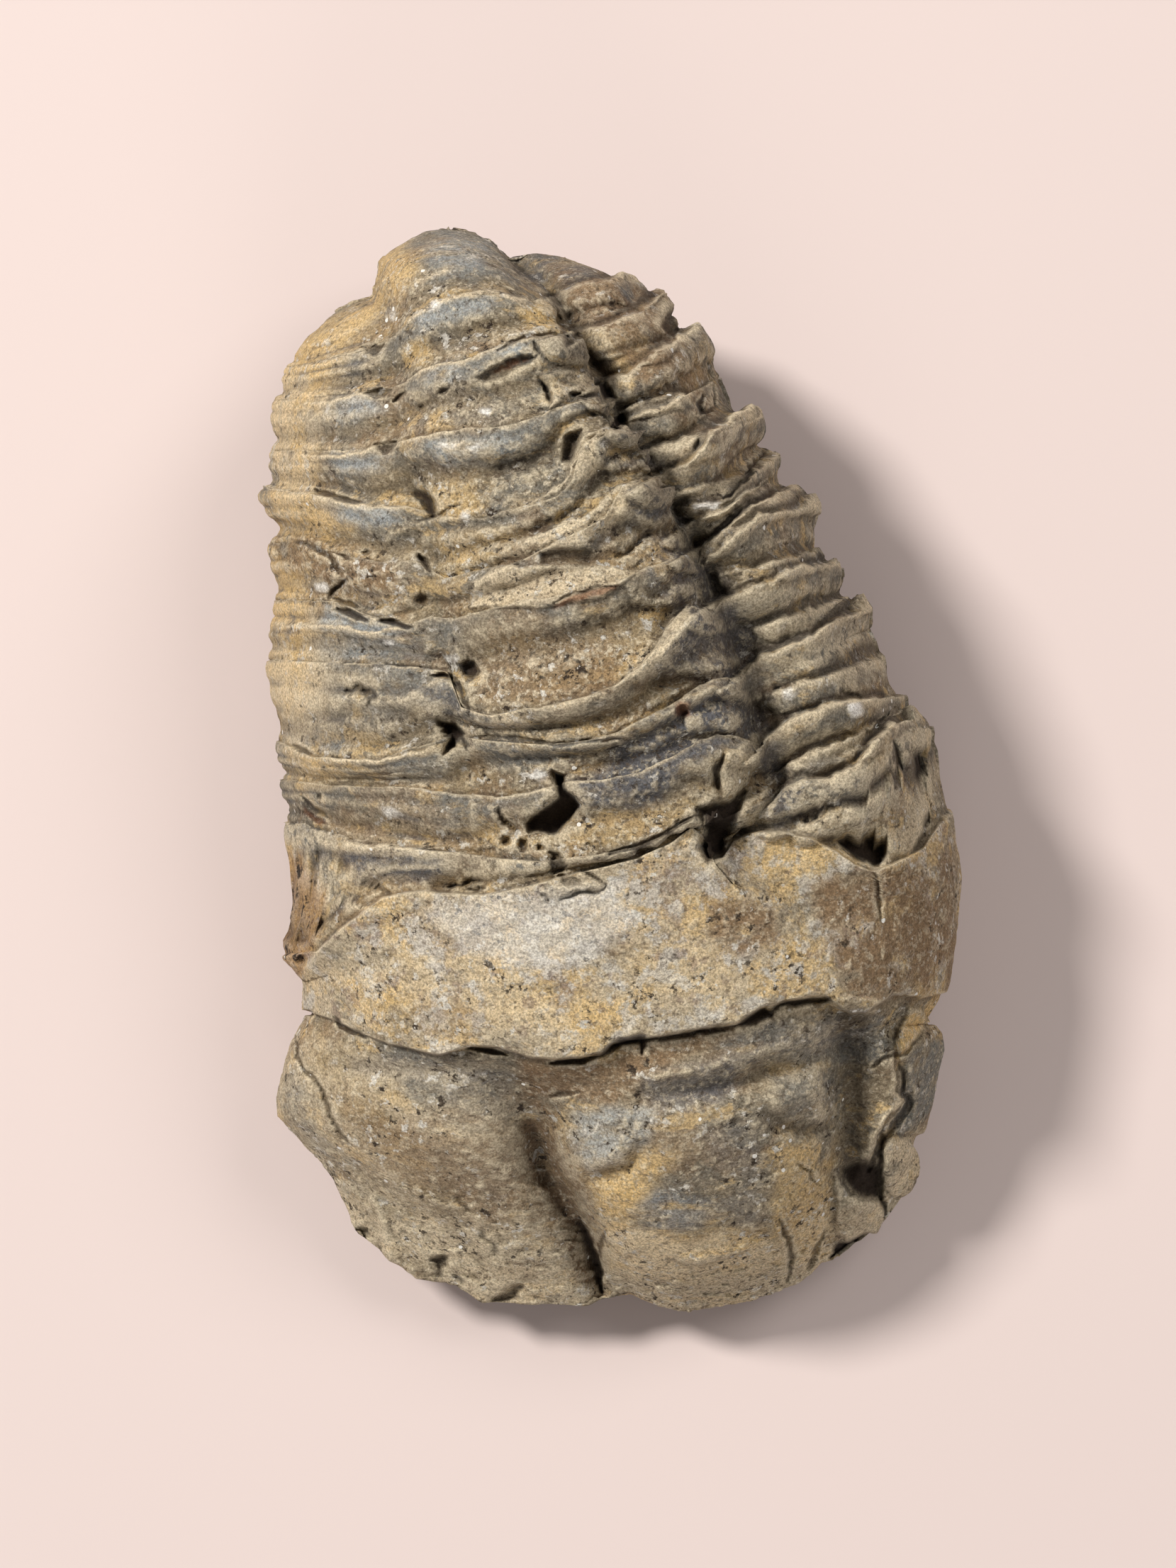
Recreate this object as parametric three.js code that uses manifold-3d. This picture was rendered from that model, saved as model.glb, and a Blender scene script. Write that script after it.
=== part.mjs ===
// A partly rolled-up trilobite turned to stone: one solid, lying on its belly.
// Millimetres. The tail is toward +Y, the back is up, and the belly rests on z = 0.
import * as THREE from "three";
import { mergeVertices } from "three/addons/utils/BufferGeometryUtils.js";
import Module from "manifold-3d";

// Lines across the back, from the front of the head to the tail.
// Each plan holds five points: left side, left furrow, crest, right furrow, right side.
// Then come the height of the crest and the height at which the two sides are widest.
const CROSS_LINES = [
  { part: "front", plan: [-21, -30, -0.5, -39, 8, -40.5, 17, -37, 22.5, -29.5], crest: 6.5, side: 6.5 },
  { part: "snout", plan: [-23.5, -28, -2, -35.5, 6.5, -37, 17.5, -33.5, 23.5, -27], crest: 13, side: 7 },
  { part: "glabella", plan: [-25, -26, -5, -29.5, 5, -30, 18, -27.5, 24, -24], crest: 19.5, side: 8 },
  { part: "brow", plan: [-24.5, -22, -7.5, -23.5, 3, -24.5, 17.5, -21, 25, -19.5], crest: 24, side: 9 },
  { part: "ledge", plan: [-23, -18, -8.5, -21, 2, -20.5, 16, -17.5, 25, -16.5], crest: 26.5, side: 10 },
  { part: "slab middle", plan: [-24, -16, -11.5, -15, 1, -14, 15, -11, 26, -9.5], crest: 28, side: 10.5 },
  { part: "slab top", plan: [-24.5, -14, -14, -9, 0.5, -8, 12.5, -5, 25.5, -3.5], crest: 29, side: 11 },
  { part: "ring 1", plan: [-24.5, -4, -11, -6, 0, -6.5, 12, -2.5, 21.5, 1.5], crest: 30, side: 11 },
  { part: "ring 2", plan: [-24.5, -0.5, -11, -1.5, -1, -2, 11, 2.5, 20.5, 6], crest: 31, side: 11.5 },
  { part: "ring 3", plan: [-25, 2.5, -12, 2.5, -1.5, 2, 10, 7.5, 18.5, 11.5], crest: 32, side: 12 },
  { part: "ring 4", plan: [-25.5, 8.5, -12.5, 7.5, -2, 5.5, 8, 12.5, 15.5, 16.5], crest: 33, side: 12 },
  { part: "ring 5", plan: [-25.5, 12.5, -13.5, 11.5, -3.5, 11, 6, 16, 13.5, 21], crest: 33.5, side: 12.5 },
  { part: "ring 6", plan: [-25.5, 17, -14, 15.5, -5, 16, 4.5, 19, 12, 24], crest: 34, side: 13 },
  { part: "ring 7", plan: [-26, 21, -15.5, 20, -6.5, 19.5, 2.5, 22, 10.5, 26.5], crest: 33.5, side: 13 },
  { part: "ring 8", plan: [-25, 24, -16.5, 24.5, -8, 26, 0.5, 26.5, 8, 30], crest: 32.5, side: 13.5 },
  { part: "ring 9", plan: [-25, 28, -17, 28.5, -9, 32, -1, 29.5, 6, 33], crest: 30.5, side: 14 },
  { part: "ring 10", plan: [-24.5, 30.5, -17, 32.5, -10.5, 36, -3.5, 33, 3.5, 35], crest: 27.5, side: 14.5 },
  { part: "ring 11", plan: [-23, 32.5, -18, 35, -11.5, 39, -5, 36.5, 2, 36.5], crest: 23, side: 15 },
  { part: "tail end", plan: [-21, 34, -18, 35.5, -12.5, 41, -7.5, 39, -0.5, 37.5], crest: 15, side: 15 },
];
const lineOf = (part) => CROSS_LINES.findIndex((line) => line.part === part);
const LAST_LINE = CROSS_LINES.length - 1;
const LEDGE = lineOf("ledge");
const SLAB_TOP = lineOf("slab top");
const FIRST_RING = lineOf("ring 1");
const LAST_RING = lineOf("ring 11");

// Across the back, a column runs from -1 at the left side, over 0 at the crest, to 1 at the right.
const FURROW_COLUMN = 0.4;
const AXIS_COLUMNS = [0, 0.1, 0.2, 0.29, 0.36];
const FLANK_COLUMNS = [0.4, 0.45, 0.52, 0.61, 0.7, 0.8, 0.9, 1];
const SECTION_POWER = 2.4; // how square the cross section is: 2 is an ellipse
const FRONT_BOW = { left: 4.2, right: 1, lines: 3 }; // the first lines bulge forward at the cheeks

// Rows along the body: close together at each step, wider apart between.
const STEP_GAP = 0.03;
const RIB_ROWS = [STEP_GAP, 0.3, 0.58, 0.72, 0.86];
const HEAD_ROWS = 4;

// Belly
const BELLY_SINK = 2.5; // the bulge that the worn flat face is cut from
const BELLY_FRONT_POWER = 8;
const BELLY_TAIL_POWER = 3;
const BELLY_LUMP = 0.5;
const LUMP_LENGTH = [11, 13];

// Back
const AXIS_RISE = 3; // the raised middle lobe
const LOBE_POWER = { left: 1, right: 0.55 }; // how steeply the lobe falls to each furrow: low is steep
const FURROW_DEPTH = { left: 0.3, right: 1.5 };
const FURROW_WIDTH = 0.055;
const RING_STEP = 1; // each ring's rear edge stands this far over the next
const FLANK_STEP = 0.9;
const STEP_SHELF = [0.3, 0.75]; // a plate is level up to the first and fades out at the second
const RIB_FURROW = { depth: 0.5, at: 0.28, width: 0.1 };
const TAIL_SMOOTHING = 0.9; // the last rings run together into a smooth tail
const FLANK_FADE = [0.72, 0.95];

// Head, with places in plan
const SLAB_RISE = 1.7;
const GLABELLA = { at: [5.5, -30.5], radii: [11, 9.5], rise: 3 };
const KNOB = { at: [15.5, -25.5], radii: [2, 2], rise: 1.3 };
const CHEEK = { at: [-14, -27.5], radii: [8.5, 6.5], rise: 1 };
const PITS = [
  { at: [7.5, -5.5], radii: [2, 3], rise: -3.2 },
  { at: [10.5, -2.5], radii: [2, 2.4], rise: -2 },
  { at: [18.8, -6.3], radii: [2.6, 1.7], rise: -3.2 },
  { at: [-3.2, -2.3], radii: [1.7, 1.9], rise: -1.6 },
  { at: [17.8, -32], radii: [1.8, 1.8], rise: -1.8 },
];
const HEAD_FURROWS = { left: 2.4, right: 1.7, width: 0.07, from: 1.2, to: 3.5 };
const WING = { rise: 2, from: 0.8, lines: [5.8, 7.5] }; // the slab's right end stands up beside the ribs

// The whole body narrows toward the crest: plan sizes hold at TAPER_LEVEL.
const TAPER_LEVEL = 20;
const TAPER_LENGTH = 430;

const FULL_TURN = 2 * Math.PI;
const smoothstep = THREE.MathUtils.smoothstep;
const lerp = THREE.MathUtils.lerp;
const bell = (x, centre, width) => Math.exp(-(((x - centre) / width) ** 2));

// One curve along the body for each of the five points; its z is the height there.
function railCurve(point, height) {
  const places = CROSS_LINES.map(
    (line) => new THREE.Vector3(line.plan[2 * point], line.plan[2 * point + 1], line[height]),
  );
  return new THREE.CatmullRomCurve3(places, false, "centripetal");
}

const RAILS = {
  crest: railCurve(2, "crest"),
  left: { furrow: railCurve(1, "crest"), rim: railCurve(0, "side") },
  right: { furrow: railCurve(3, "crest"), rim: railCurve(4, "side") },
};

// Share of the belly's full depth at one line: none at the two ends, where it meets the back.
function bellyFill(line) {
  const along = (2 * line) / LAST_LINE - 1;
  const power = along < 0 ? BELLY_FRONT_POWER : BELLY_TAIL_POWER;
  return Math.sqrt(1 - Math.abs(along) ** power);
}

function frontBow(line, column) {
  const full = column < 0 ? FRONT_BOW.left : FRONT_BOW.right;
  return full * Math.max(0, 1 - line / FRONT_BOW.lines) ** 1.5;
}

// The smooth body under all relief.
function bodyPoint(line, column, onBelly) {
  const t = line / LAST_LINE;
  const rails = column < 0 ? RAILS.left : RAILS.right;
  const crest = RAILS.crest.getPoint(t);
  const furrow = rails.furrow.getPoint(t);
  const rim = rails.rim.getPoint(t);
  const out = Math.abs(column);
  const place = new THREE.Vector3();
  if (out < FURROW_COLUMN) {
    const w = out / FURROW_COLUMN;
    place.set(lerp(crest.x, furrow.x, w), lerp(crest.y, furrow.y, w ** 1.8), 0);
  } else {
    const w = Math.sin(((out - FURROW_COLUMN) / (1 - FURROW_COLUMN)) * (Math.PI / 2));
    place.set(lerp(furrow.x, rim.x, w), lerp(furrow.y, rim.y, w), 0);
    place.y -= frontBow(line, column) * Math.sin(w * Math.PI);
  }
  const reach = Math.min(1, Math.abs((place.x - crest.x) / (rim.x - crest.x)));
  const round = Math.sqrt(1 - reach ** SECTION_POWER);
  place.z = onBelly
    ? rim.z - (rim.z + BELLY_SINK) * round * bellyFill(line)
    : rim.z + (crest.z - rim.z) * round;
  return place;
}

// 1 just in front of a plate's rear edge, 0 behind it, fading out toward the head.
function plateProfile(line) {
  const ring = line > LAST_RING ? LAST_RING + 2 * (line - LAST_RING) : line;
  const ahead = Math.ceil(ring) - ring;
  return { ahead, shelf: 1 - smoothstep(ahead, ...STEP_SHELF) };
}

function ribRelief(line, column) {
  if (line < SLAB_TOP) return 0;
  const out = Math.abs(column);
  const { ahead, shelf } = plateProfile(line);
  const onTail = smoothstep(line, LAST_RING - 1, LAST_LINE);
  const fade = (1 - 0.6 * bell(out, FURROW_COLUMN, FURROW_WIDTH)) * (1 - TAIL_SMOOTHING * onTail);
  if (out < FURROW_COLUMN) return RING_STEP * shelf * fade;
  const groove = RIB_FURROW.depth * bell(ahead, RIB_FURROW.at, RIB_FURROW.width);
  return (FLANK_STEP * shelf - groove) * fade;
}

// The middle lobe stands straight up, so that the rounded tail keeps its outline.
function lobeRelief({ line, column, onBelly }) {
  if (onBelly) return 0;
  const side = column < 0 ? "left" : "right";
  const out = Math.abs(column);
  const pastLast = Math.min(1, Math.max(0, line - LAST_RING));
  const onThorax = smoothstep(line, LEDGE, FIRST_RING) * Math.sqrt(1 - pastLast ** 2);
  const inside = Math.max(0, 1 - (out / FURROW_COLUMN) ** 2);
  const furrow = FURROW_DEPTH[side] * bell(out, FURROW_COLUMN, FURROW_WIDTH);
  return onThorax * (AXIS_RISE * inside ** LOBE_POWER[side] - furrow);
}

function mound({ at, radii, rise }, place) {
  const far = Math.hypot((place.x - at[0]) / radii[0], (place.y - at[1]) / radii[1]);
  return far < 1 ? rise * (1 - far ** 2) ** 1.2 : 0;
}

function headRelief(line, column, place) {
  const { left, right, width, from, to } = HEAD_FURROWS;
  const along = smoothstep(line, 0, from) * (1 - smoothstep(line, to - 0.6, to));
  const furrow = (column < 0 ? left : right) * bell(Math.abs(column), FURROW_COLUMN, width);
  const slab = line > LEDGE && line < SLAB_TOP ? SLAB_RISE : 0;
  const mounds = [GLABELLA, KNOB, CHEEK, ...PITS].map((m) => mound(m, place));
  return slab - furrow * along + mounds.reduce((sum, rise) => sum + rise, 0);
}

function wingRelief(line, column) {
  const [from, to] = WING.lines;
  const along = smoothstep(line, from, from + 0.4) * (1 - smoothstep(line, to - 0.3, to));
  return WING.rise * along * smoothstep(column, WING.from, 0.92);
}

// How far the finished surface stands out from the smooth body, besides the lobe.
function relief({ line, column, onBelly }, place) {
  const ribs = ribRelief(line, column);
  if (onBelly) return ribs * smoothstep(Math.abs(column), ...FLANK_FADE) + bellyLumps(place);
  return ribs + headRelief(line, column, place) + wingRelief(line, column);
}

function bellyLumps({ x, y }) {
  const [across, along] = LUMP_LENGTH;
  return BELLY_LUMP * Math.sin((FULL_TURN * x) / across) * Math.sin((FULL_TURN * y) / along);
}

function rowLines() {
  const rows = new Set([0]);
  for (let line = 0; line < LAST_LINE; line++) {
    const add = (share) => rows.add(line + share);
    if (line < SLAB_TOP || line === FIRST_RING - 1) {
      for (let i = 1; i < HEAD_ROWS; i++) add(i / HEAD_ROWS);
      if (line === LEDGE || line === SLAB_TOP) add(STEP_GAP);
    } else if (line < LAST_RING) RIB_ROWS.forEach(add);
    else RIB_ROWS.forEach((share) => [0, 0.5].forEach((half) => add(half + share / 2)));
    if (line === LAST_RING) add(0.5);
    add(1);
  }
  return [...rows].sort((a, b) => a - b);
}

function columnPlaces() {
  const right = [...AXIS_COLUMNS, ...FLANK_COLUMNS];
  const left = right.slice(1).map((column) => -column);
  return [...left.reverse(), ...right];
}

// The back and the belly are two grids of points that share their outer edge.
function pointGrids() {
  const rows = rowLines();
  const columns = columnPlaces();
  const points = [];
  const isEdge = (i, j) => [0, rows.length - 1].includes(i) || [0, columns.length - 1].includes(j);
  const gridOf = (onBelly, shared) =>
    rows.map((line, i) =>
      columns.map((column, j) => {
        if (shared && isEdge(i, j)) return shared[i][j];
        return points.push({ line, column, onBelly, place: bodyPoint(line, column, onBelly) }) - 1;
      }),
    );
  const back = gridOf(false);
  return { points, back, belly: gridOf(true, back) };
}

function gridFaces(grid, turned) {
  const faces = [];
  for (let i = 1; i < grid.length; i++)
    for (let j = 1; j < grid[i].length; j++) {
      const [a, b, c, d] = [grid[i - 1][j - 1], grid[i - 1][j], grid[i][j], grid[i][j - 1]];
      faces.push(...(turned ? [a, c, b, a, d, c] : [a, b, c, a, c, d]));
    }
  return faces;
}

function bodyGeometry() {
  const { points, back, belly } = pointGrids();
  const faces = [...gridFaces(back, false), ...gridFaces(belly, true)];
  const smooth = new THREE.BufferGeometry().setFromPoints(points.map((point) => point.place));
  smooth.setIndex(faces);
  smooth.computeVertexNormals();
  const finished = points.map((point, k) => {
    const normal = new THREE.Vector3().fromBufferAttribute(smooth.getAttribute("normal"), k);
    const place = point.place.clone().addScaledVector(normal, relief(point, point.place));
    place.z += lobeRelief(point);
    return taper(place);
  });
  return new THREE.BufferGeometry().setFromPoints(finished).setIndex(faces);
}

function taper(place) {
  const scale = 1 + (TAPER_LEVEL - place.z) / TAPER_LENGTH;
  return new THREE.Vector3(place.x * scale, place.y * scale, place.z);
}

const wasm = await Module();
wasm.setup();

function solidFrom(geometry) {
  geometry.deleteAttribute("normal");
  geometry.deleteAttribute("uv");
  const merged = mergeVertices(geometry, 1e-3);
  return new wasm.Manifold(
    new wasm.Mesh({
      numProp: 3,
      vertProperties: new Float32Array(merged.attributes.position.array),
      triVerts: new Uint32Array(merged.index.array),
    }),
  );
}

function geometryFrom(solid) {
  const mesh = solid.getMesh();
  const geometry = new THREE.BufferGeometry();
  geometry.setAttribute("position", new THREE.BufferAttribute(mesh.vertProperties, 3));
  geometry.setIndex(new THREE.BufferAttribute(mesh.triVerts, 1));
  return geometry;
}

// The worn flat face: everything below the resting plane is cut away.
function cutFlat(geometry) {
  const size = 200;
  const below = new THREE.BoxGeometry(size, size, size).translate(0, 0, -size / 2);
  return geometryFrom(solidFrom(geometry).subtract(solidFrom(below)));
}

function fossil() {
  const geometry = cutFlat(bodyGeometry());
  geometry.computeBoundingBox();
  const middle = geometry.boundingBox.getCenter(new THREE.Vector3());
  geometry.translate(-middle.x, -middle.y, 0);
  geometry.computeVertexNormals();
  const stone = new THREE.MeshStandardMaterial({ color: 0x8f8468, roughness: 0.9, metalness: 0 });
  const mesh = new THREE.Mesh(geometry, stone);
  mesh.name = "trilobite_fossil";
  return mesh;
}

const group = new THREE.Group();
group.add(fossil());

export default group;
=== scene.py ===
"""A partly rolled-up trilobite turned to stone, lying on its belly, seen from above.

The stone's skin is one mesh. It is laid out by lines that cross the back from the head to the tail, in
photo pixels, and by columns from the left side over the crest to the right side. Relief is then pushed
out of that smooth body, and masks kept on the vertices tell the material where the stone changes colour
and where shade and highlights are painted onto it.
"""

import itertools
import math

import bpy
import numpy as np
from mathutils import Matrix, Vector


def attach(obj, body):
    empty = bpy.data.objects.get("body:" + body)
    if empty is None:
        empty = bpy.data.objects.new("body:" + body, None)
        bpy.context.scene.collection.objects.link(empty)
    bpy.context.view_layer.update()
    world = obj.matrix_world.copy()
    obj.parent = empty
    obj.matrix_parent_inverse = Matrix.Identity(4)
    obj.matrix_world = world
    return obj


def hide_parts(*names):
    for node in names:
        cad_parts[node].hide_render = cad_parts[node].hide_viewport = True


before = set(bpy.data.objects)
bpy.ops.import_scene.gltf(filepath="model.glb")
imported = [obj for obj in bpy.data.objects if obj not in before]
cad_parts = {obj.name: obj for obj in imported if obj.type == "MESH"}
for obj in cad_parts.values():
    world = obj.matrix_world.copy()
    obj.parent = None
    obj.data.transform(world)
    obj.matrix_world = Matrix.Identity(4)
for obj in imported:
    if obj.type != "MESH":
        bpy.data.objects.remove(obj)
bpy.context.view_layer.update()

NODE = "trilobite_fossil"
SLOT = "fossil_stone"
MM = 0.001

# The photo's frame. A pixel (u, v) lies over plan millimetres x = (u - 862) / 18.7, y = (1087 - v) / 18.7.
PX_PER_MM = 18.7
PLAN_ORIGIN_PX = (862, 1087)
FRAME_PX = (1659, 2212)
EYE_ABOVE_FLOOR = 450
TAPER_LEVEL = 20  # plan millimetres hold true at this height, and higher places draw closer together
EYE_ABOVE_LEVEL = EYE_ABOVE_FLOOR - TAPER_LEVEL
MODEL_SHIFT = (-0.509, 0.098)  # from the plan's origin to the middle of the model's box


def path(text):
    """The pixels named by a text such as "465,1650 480,1680"."""
    return [tuple(map(int, pair.split(","))) for pair in text.split()]


def rows_of(table):
    """The rows of a text table, parted at their bars. A long row goes on in an indented line."""
    return [row.split(" | ") for row in table.strip().replace("\n ", " ").splitlines()]


# ---------------------------------------------------------------- the smooth body
# Each row is a line across the back: its name, the height in millimetres of the crest and of the widest
# part of the sides, then the pixels from the left side to the left furrow, over the middle lobe, and from
# the right furrow to the right side.
LINES = [(name, *map(float, heights.split()), *map(path, parts)) for name, heights, *parts in rows_of("""
front | 6.5 6.5 | 465,1650 480,1680 505,1740 545,1770 590,1803 640,1810 680,1837 830,1843 | 850,1832
  890,1825 930,1843 965,1850 1000,1845 1060,1835 1130,1808 1160,1780 | 1180,1775 1218,1748 1250,1722
  1280,1680 1288,1650
snout | 13 7 | 425,1612 526,1678 626,1726 727,1749 822,1757 | 838,1757 900,1775 985,1780 1100,1760
  1175,1722 | 1190,1715 1250,1665 1300,1590
glabella | 19.5 8 | 393,1570 580,1620 765,1640 | 780,1640 860,1650 955,1650 1080,1635 1180,1607 |
  1200,1600 1315,1530
brow | 24 9 | 408,1495 560,1515 715,1530 | 730,1530 920,1545 1070,1520 1180,1482 | 1195,1478 1325,1450
ledge | 26.5 10 | 433,1428 470,1440 510,1460 550,1475 620,1490 660,1478 700,1480 | 750,1495 790,1498
  850,1490 865,1475 905,1468 960,1460 1050,1445 1075,1425 1110,1415 1140,1410 1165,1408 | 1200,1432
  1220,1432 1260,1405 1300,1410 1330,1400
slab middle | 28 10.5 | 412,1388 540,1378 650,1370 | 660,1370 882,1345 1130,1292 | 1140,1290 1250,1275
  1350,1260
slab top | 29 11 | 402,1345 445,1340 480,1305 510,1285 540,1262 580,1256 620,1256 | 680,1262 740,1250
  800,1235 850,1222 900,1208 950,1185 975,1166 992,1180 1000,1210 1018,1207 | 1035,1182 1055,1172
  1100,1170 1140,1180 1175,1197 1205,1217 1232,1228 1262,1215 1300,1195 1338,1140
ring 1 | 30 11 | 407,1160 428,1163 493,1183 545,1192 593,1198 655,1203 | 700,1210 760,1215 820,1208
  862,1203 900,1193 930,1180 958,1162 980,1150 1010,1160 1085,1125 | 1110,1100 1140,1100 1180,1095
  1210,1080 1230,1050 1245,1030 1262,1032
ring 2 | 31 11.5 | 404,1100 458,1107 523,1110 567,1110 650,1120 | 700,1125 740,1120 800,1105 850,1100
  900,1090 950,1065 985,1045 1010,1035 1040,1040 1068,1050 | 1078,1040 1100,1020 1130,1005 1160,998
  1200,985 1225,975 1240,985
ring 3 | 32 12 | 396,1045 437,1066 493,1071 532,1073 575,1058 610,1049 636,1036 | 660,1042 700,1046
  750,1050 800,1049 830,1045 870,1033 900,1018 930,1003 960,985 985,968 1005,958 1025,955 1043,963 |
  1060,938 1075,925 1100,915 1130,900 1160,885 1190,865 1210,855
ring 4 | 33 12 | 387,930 458,934 523,936 593,941 632,950 | 650,1000 690,1010 731,1002 783,993 827,982
  870,965 900,943 922,915 937,887 957,866 975,856 1003,866 | 1020,840 1035,825 1060,815 1080,806 1110,796
  1140,795 1160,805
ring 5 | 33.5 12.5 | 384,845 471,848 512,866 545,875 580,881 605,870 | 640,872 680,862 740,846 800,838
  860,823 915,800 940,790 962,786 985,798 | 990,775 1005,755 1030,735 1050,715 1080,700 1100,692 1118,697
ring 6 | 34 13 | 387,766 437,766 467,779 493,785 523,790 558,794 590,790 600,800 | 627,818 662,808 718,798
  766,774 800,757 827,744 853,729 866,703 878,686 903,679 930,690 945,725 | 960,730 975,716 1000,712
  1020,705 1035,690 1050,672 1070,655 1084,640
ring 7 | 33.5 13 | 378,692 389,692 437,696 463,701 502,709 523,716 549,716 575,714 | 620,728 680,730
  740,716 785,700 806,678 813,652 822,628 842,612 872,606 893,618 905,665 | 930,670 960,650 985,635
  1000,615 1020,600 1045,590 1058,600
ring 8 | 32.5 13.5 | 391,635 458,636 510,636 549,627 | 567,623 593,616 619,612 666,605 722,599 762,588
  783,575 818,565 844,573 857,595 870,598 | 885,594 900,585 930,575 945,569 958,559 985,545 1005,535
ring 9 | 30.5 14 | 393,566 415,564 458,558 497,556 523,551 545,549 | 570,540 593,521 619,514 653,508
  690,494 730,482 753,475 790,473 810,480 828,505 840,533 | 860,530 886,518 900,519 912,507 925,500
  940,490 950,475 962,463 975,475
ring 10 | 27.5 14.5 | 407,520 454,508 519,494 540,480 | 558,473 584,445 614,430 645,419 679,415 718,414
  740,423 762,432 777,443 797,467 | 820,460 845,453 875,446 900,437 915,425 930,425
ring 11 | 23 15 | 432,478 530,432 | 541,400 575,371 618,361 662,361 697,374 722,391 750,400 768,402 |
  785,414 807,407 832,401 864,399 902,408
tail end | 15 15 | 465,448 480,438 500,428 522,421 | 527,418 530,400 535,370 550,355 575,340 600,327
  625,324 670,328 690,338 705,350 720,362 | 724,361 757,356 790,360 820,370 850,382
""")]
LINE_NAMES = [line[0] for line in LINES]
LAST_LINE = len(LINES) - 1
LEDGE = LINE_NAMES.index("ledge")
SLAB_TOP = LINE_NAMES.index("slab top")
FIRST_RING = LINE_NAMES.index("ring 1")
LAST_RING = LINE_NAMES.index("ring 11")

# The outline of the two sides, from head to tail, in photo pixels.
LEFT_SIDE = path("""
465,1650 430,1615 392,1575 390,1550 403,1500 412,1470 433,1430 432,1380 405,1350 398,1325 412,1285
415,1240 410,1175 405,1120 400,1070 393,1000 387,950 382,895 395,870 390,820 383,770 393,745 373,700
380,690 390,640 388,600 395,560 410,520 418,500 435,480 465,448
""")
RIGHT_SIDE = path("""
1288,1650 1290,1610 1300,1590 1310,1550 1324,1480 1322,1460 1306,1440 1325,1410 1335,1380 1345,1320
1347,1290 1352,1232 1345,1190 1340,1150 1330,1110 1317,1060 1297,1020 1272,1018 1262,975 1250,955 1233,912
1212,895 1210,855 1192,850 1175,820 1170,795 1150,775 1136,748 1138,718 1120,700 1098,683 1095,670
1083,637 1068,630 1060,600 1030,575 1012,540 1008,515 1000,500 976,480 955,458 942,445 923,423 912,422
895,405 875,396 850,382
""")

# A column is -1 at the left side, 0 on the crest and 1 at the right side.
FURROW_COLUMN = 0.4
SECTION_POWER = 2.4  # 2 would make the section across the body a half ellipse, and more squares it
AXIS_STEPS = 110
LEFT_STEPS = 76
RIGHT_STEPS = 84
PX_PER_ROW = 2.6
FEWEST_ROWS = 8  # between two lines
ROW_CROWDING = 0.55  # how much the rows crowd at each line from the ledge on
END_BLEND = 0.3  # how soon, in lines from either end, the outline of the sides takes over
STEEP_ROWS = {0: 34, 17: 44}  # lines whose stretch to the next one is steep, and how many rows it gets
BELLY_LOOPS = 36
BELLY_SINK = 2.5
BELLY_FRONT_POWER = 8
BELLY_TAIL_POWER = 3
BELLY_SPINE = 0.35  # how much shorter than the body the middle line of the belly is
BELLY_CROWDING = 1.6  # over 1, the loops crowd at the rim
BELLY_SAMPLES = 361


def plan_of(u, v):
    """Plan millimetres of a pixel."""
    return (u - PLAN_ORIGIN_PX[0]) / PX_PER_MM, (PLAN_ORIGIN_PX[1] - v) / PX_PER_MM


def pixel_of(x, y):
    """The pixel of a place in plan millimetres."""
    return x * PX_PER_MM + PLAN_ORIGIN_PX[0], PLAN_ORIGIN_PX[1] - y * PX_PER_MM


def smoothstep(low, high, value):
    """0 up to low, 1 from high on, and a smooth rise between them."""
    t = np.clip((value - low) / (high - low), 0, 1)
    return t * t * (3 - 2 * t)


def bell(value, centre, width):
    """1 at the centre, falling off smoothly to both sides."""
    return np.exp(-(((value - centre) / width) ** 2))


def share_along(points, shares):
    """Places at these shares of a polyline's length."""
    points = np.array(points, float)
    lengths = np.concatenate([[0], np.cumsum(np.hypot(*np.diff(points, axis=0).T))])
    at = np.asarray(shares) * lengths[-1]
    return np.stack([np.interp(at, lengths, points[:, k]) for k in (0, 1)], axis=-1)


def column_places():
    """The columns at which points stand on every row."""
    side = lambda steps: FURROW_COLUMN + (1 - FURROW_COLUMN) * np.arange(1, steps + 1) / steps
    axis = np.linspace(-FURROW_COLUMN, FURROW_COLUMN, AXIS_STEPS + 1)
    return np.concatenate([-side(LEFT_STEPS)[::-1], axis, side(RIGHT_STEPS)])


def line_places(line, columns):
    """Pixels of one line at these columns."""
    left, axis, right = line[3:]
    left_furrow = tuple((np.array(left[-1]) + axis[0]) / 2)
    right_furrow = tuple((np.array(axis[-1]) + right[0]) / 2)
    outward = np.sin((np.abs(columns) - FURROW_COLUMN) / (1 - FURROW_COLUMN) * math.pi / 2)
    places = np.empty((len(columns), 2))
    on_left = columns < -FURROW_COLUMN
    on_right = columns > FURROW_COLUMN
    on_axis = ~on_left & ~on_right
    across = (columns[on_axis] + FURROW_COLUMN) / (2 * FURROW_COLUMN)
    places[on_left] = share_along([left_furrow, *left[::-1]], outward[on_left])
    places[on_right] = share_along([right_furrow, *right], outward[on_right])
    places[on_axis] = share_along([left_furrow, *axis, right_furrow], across)
    return places


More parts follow.
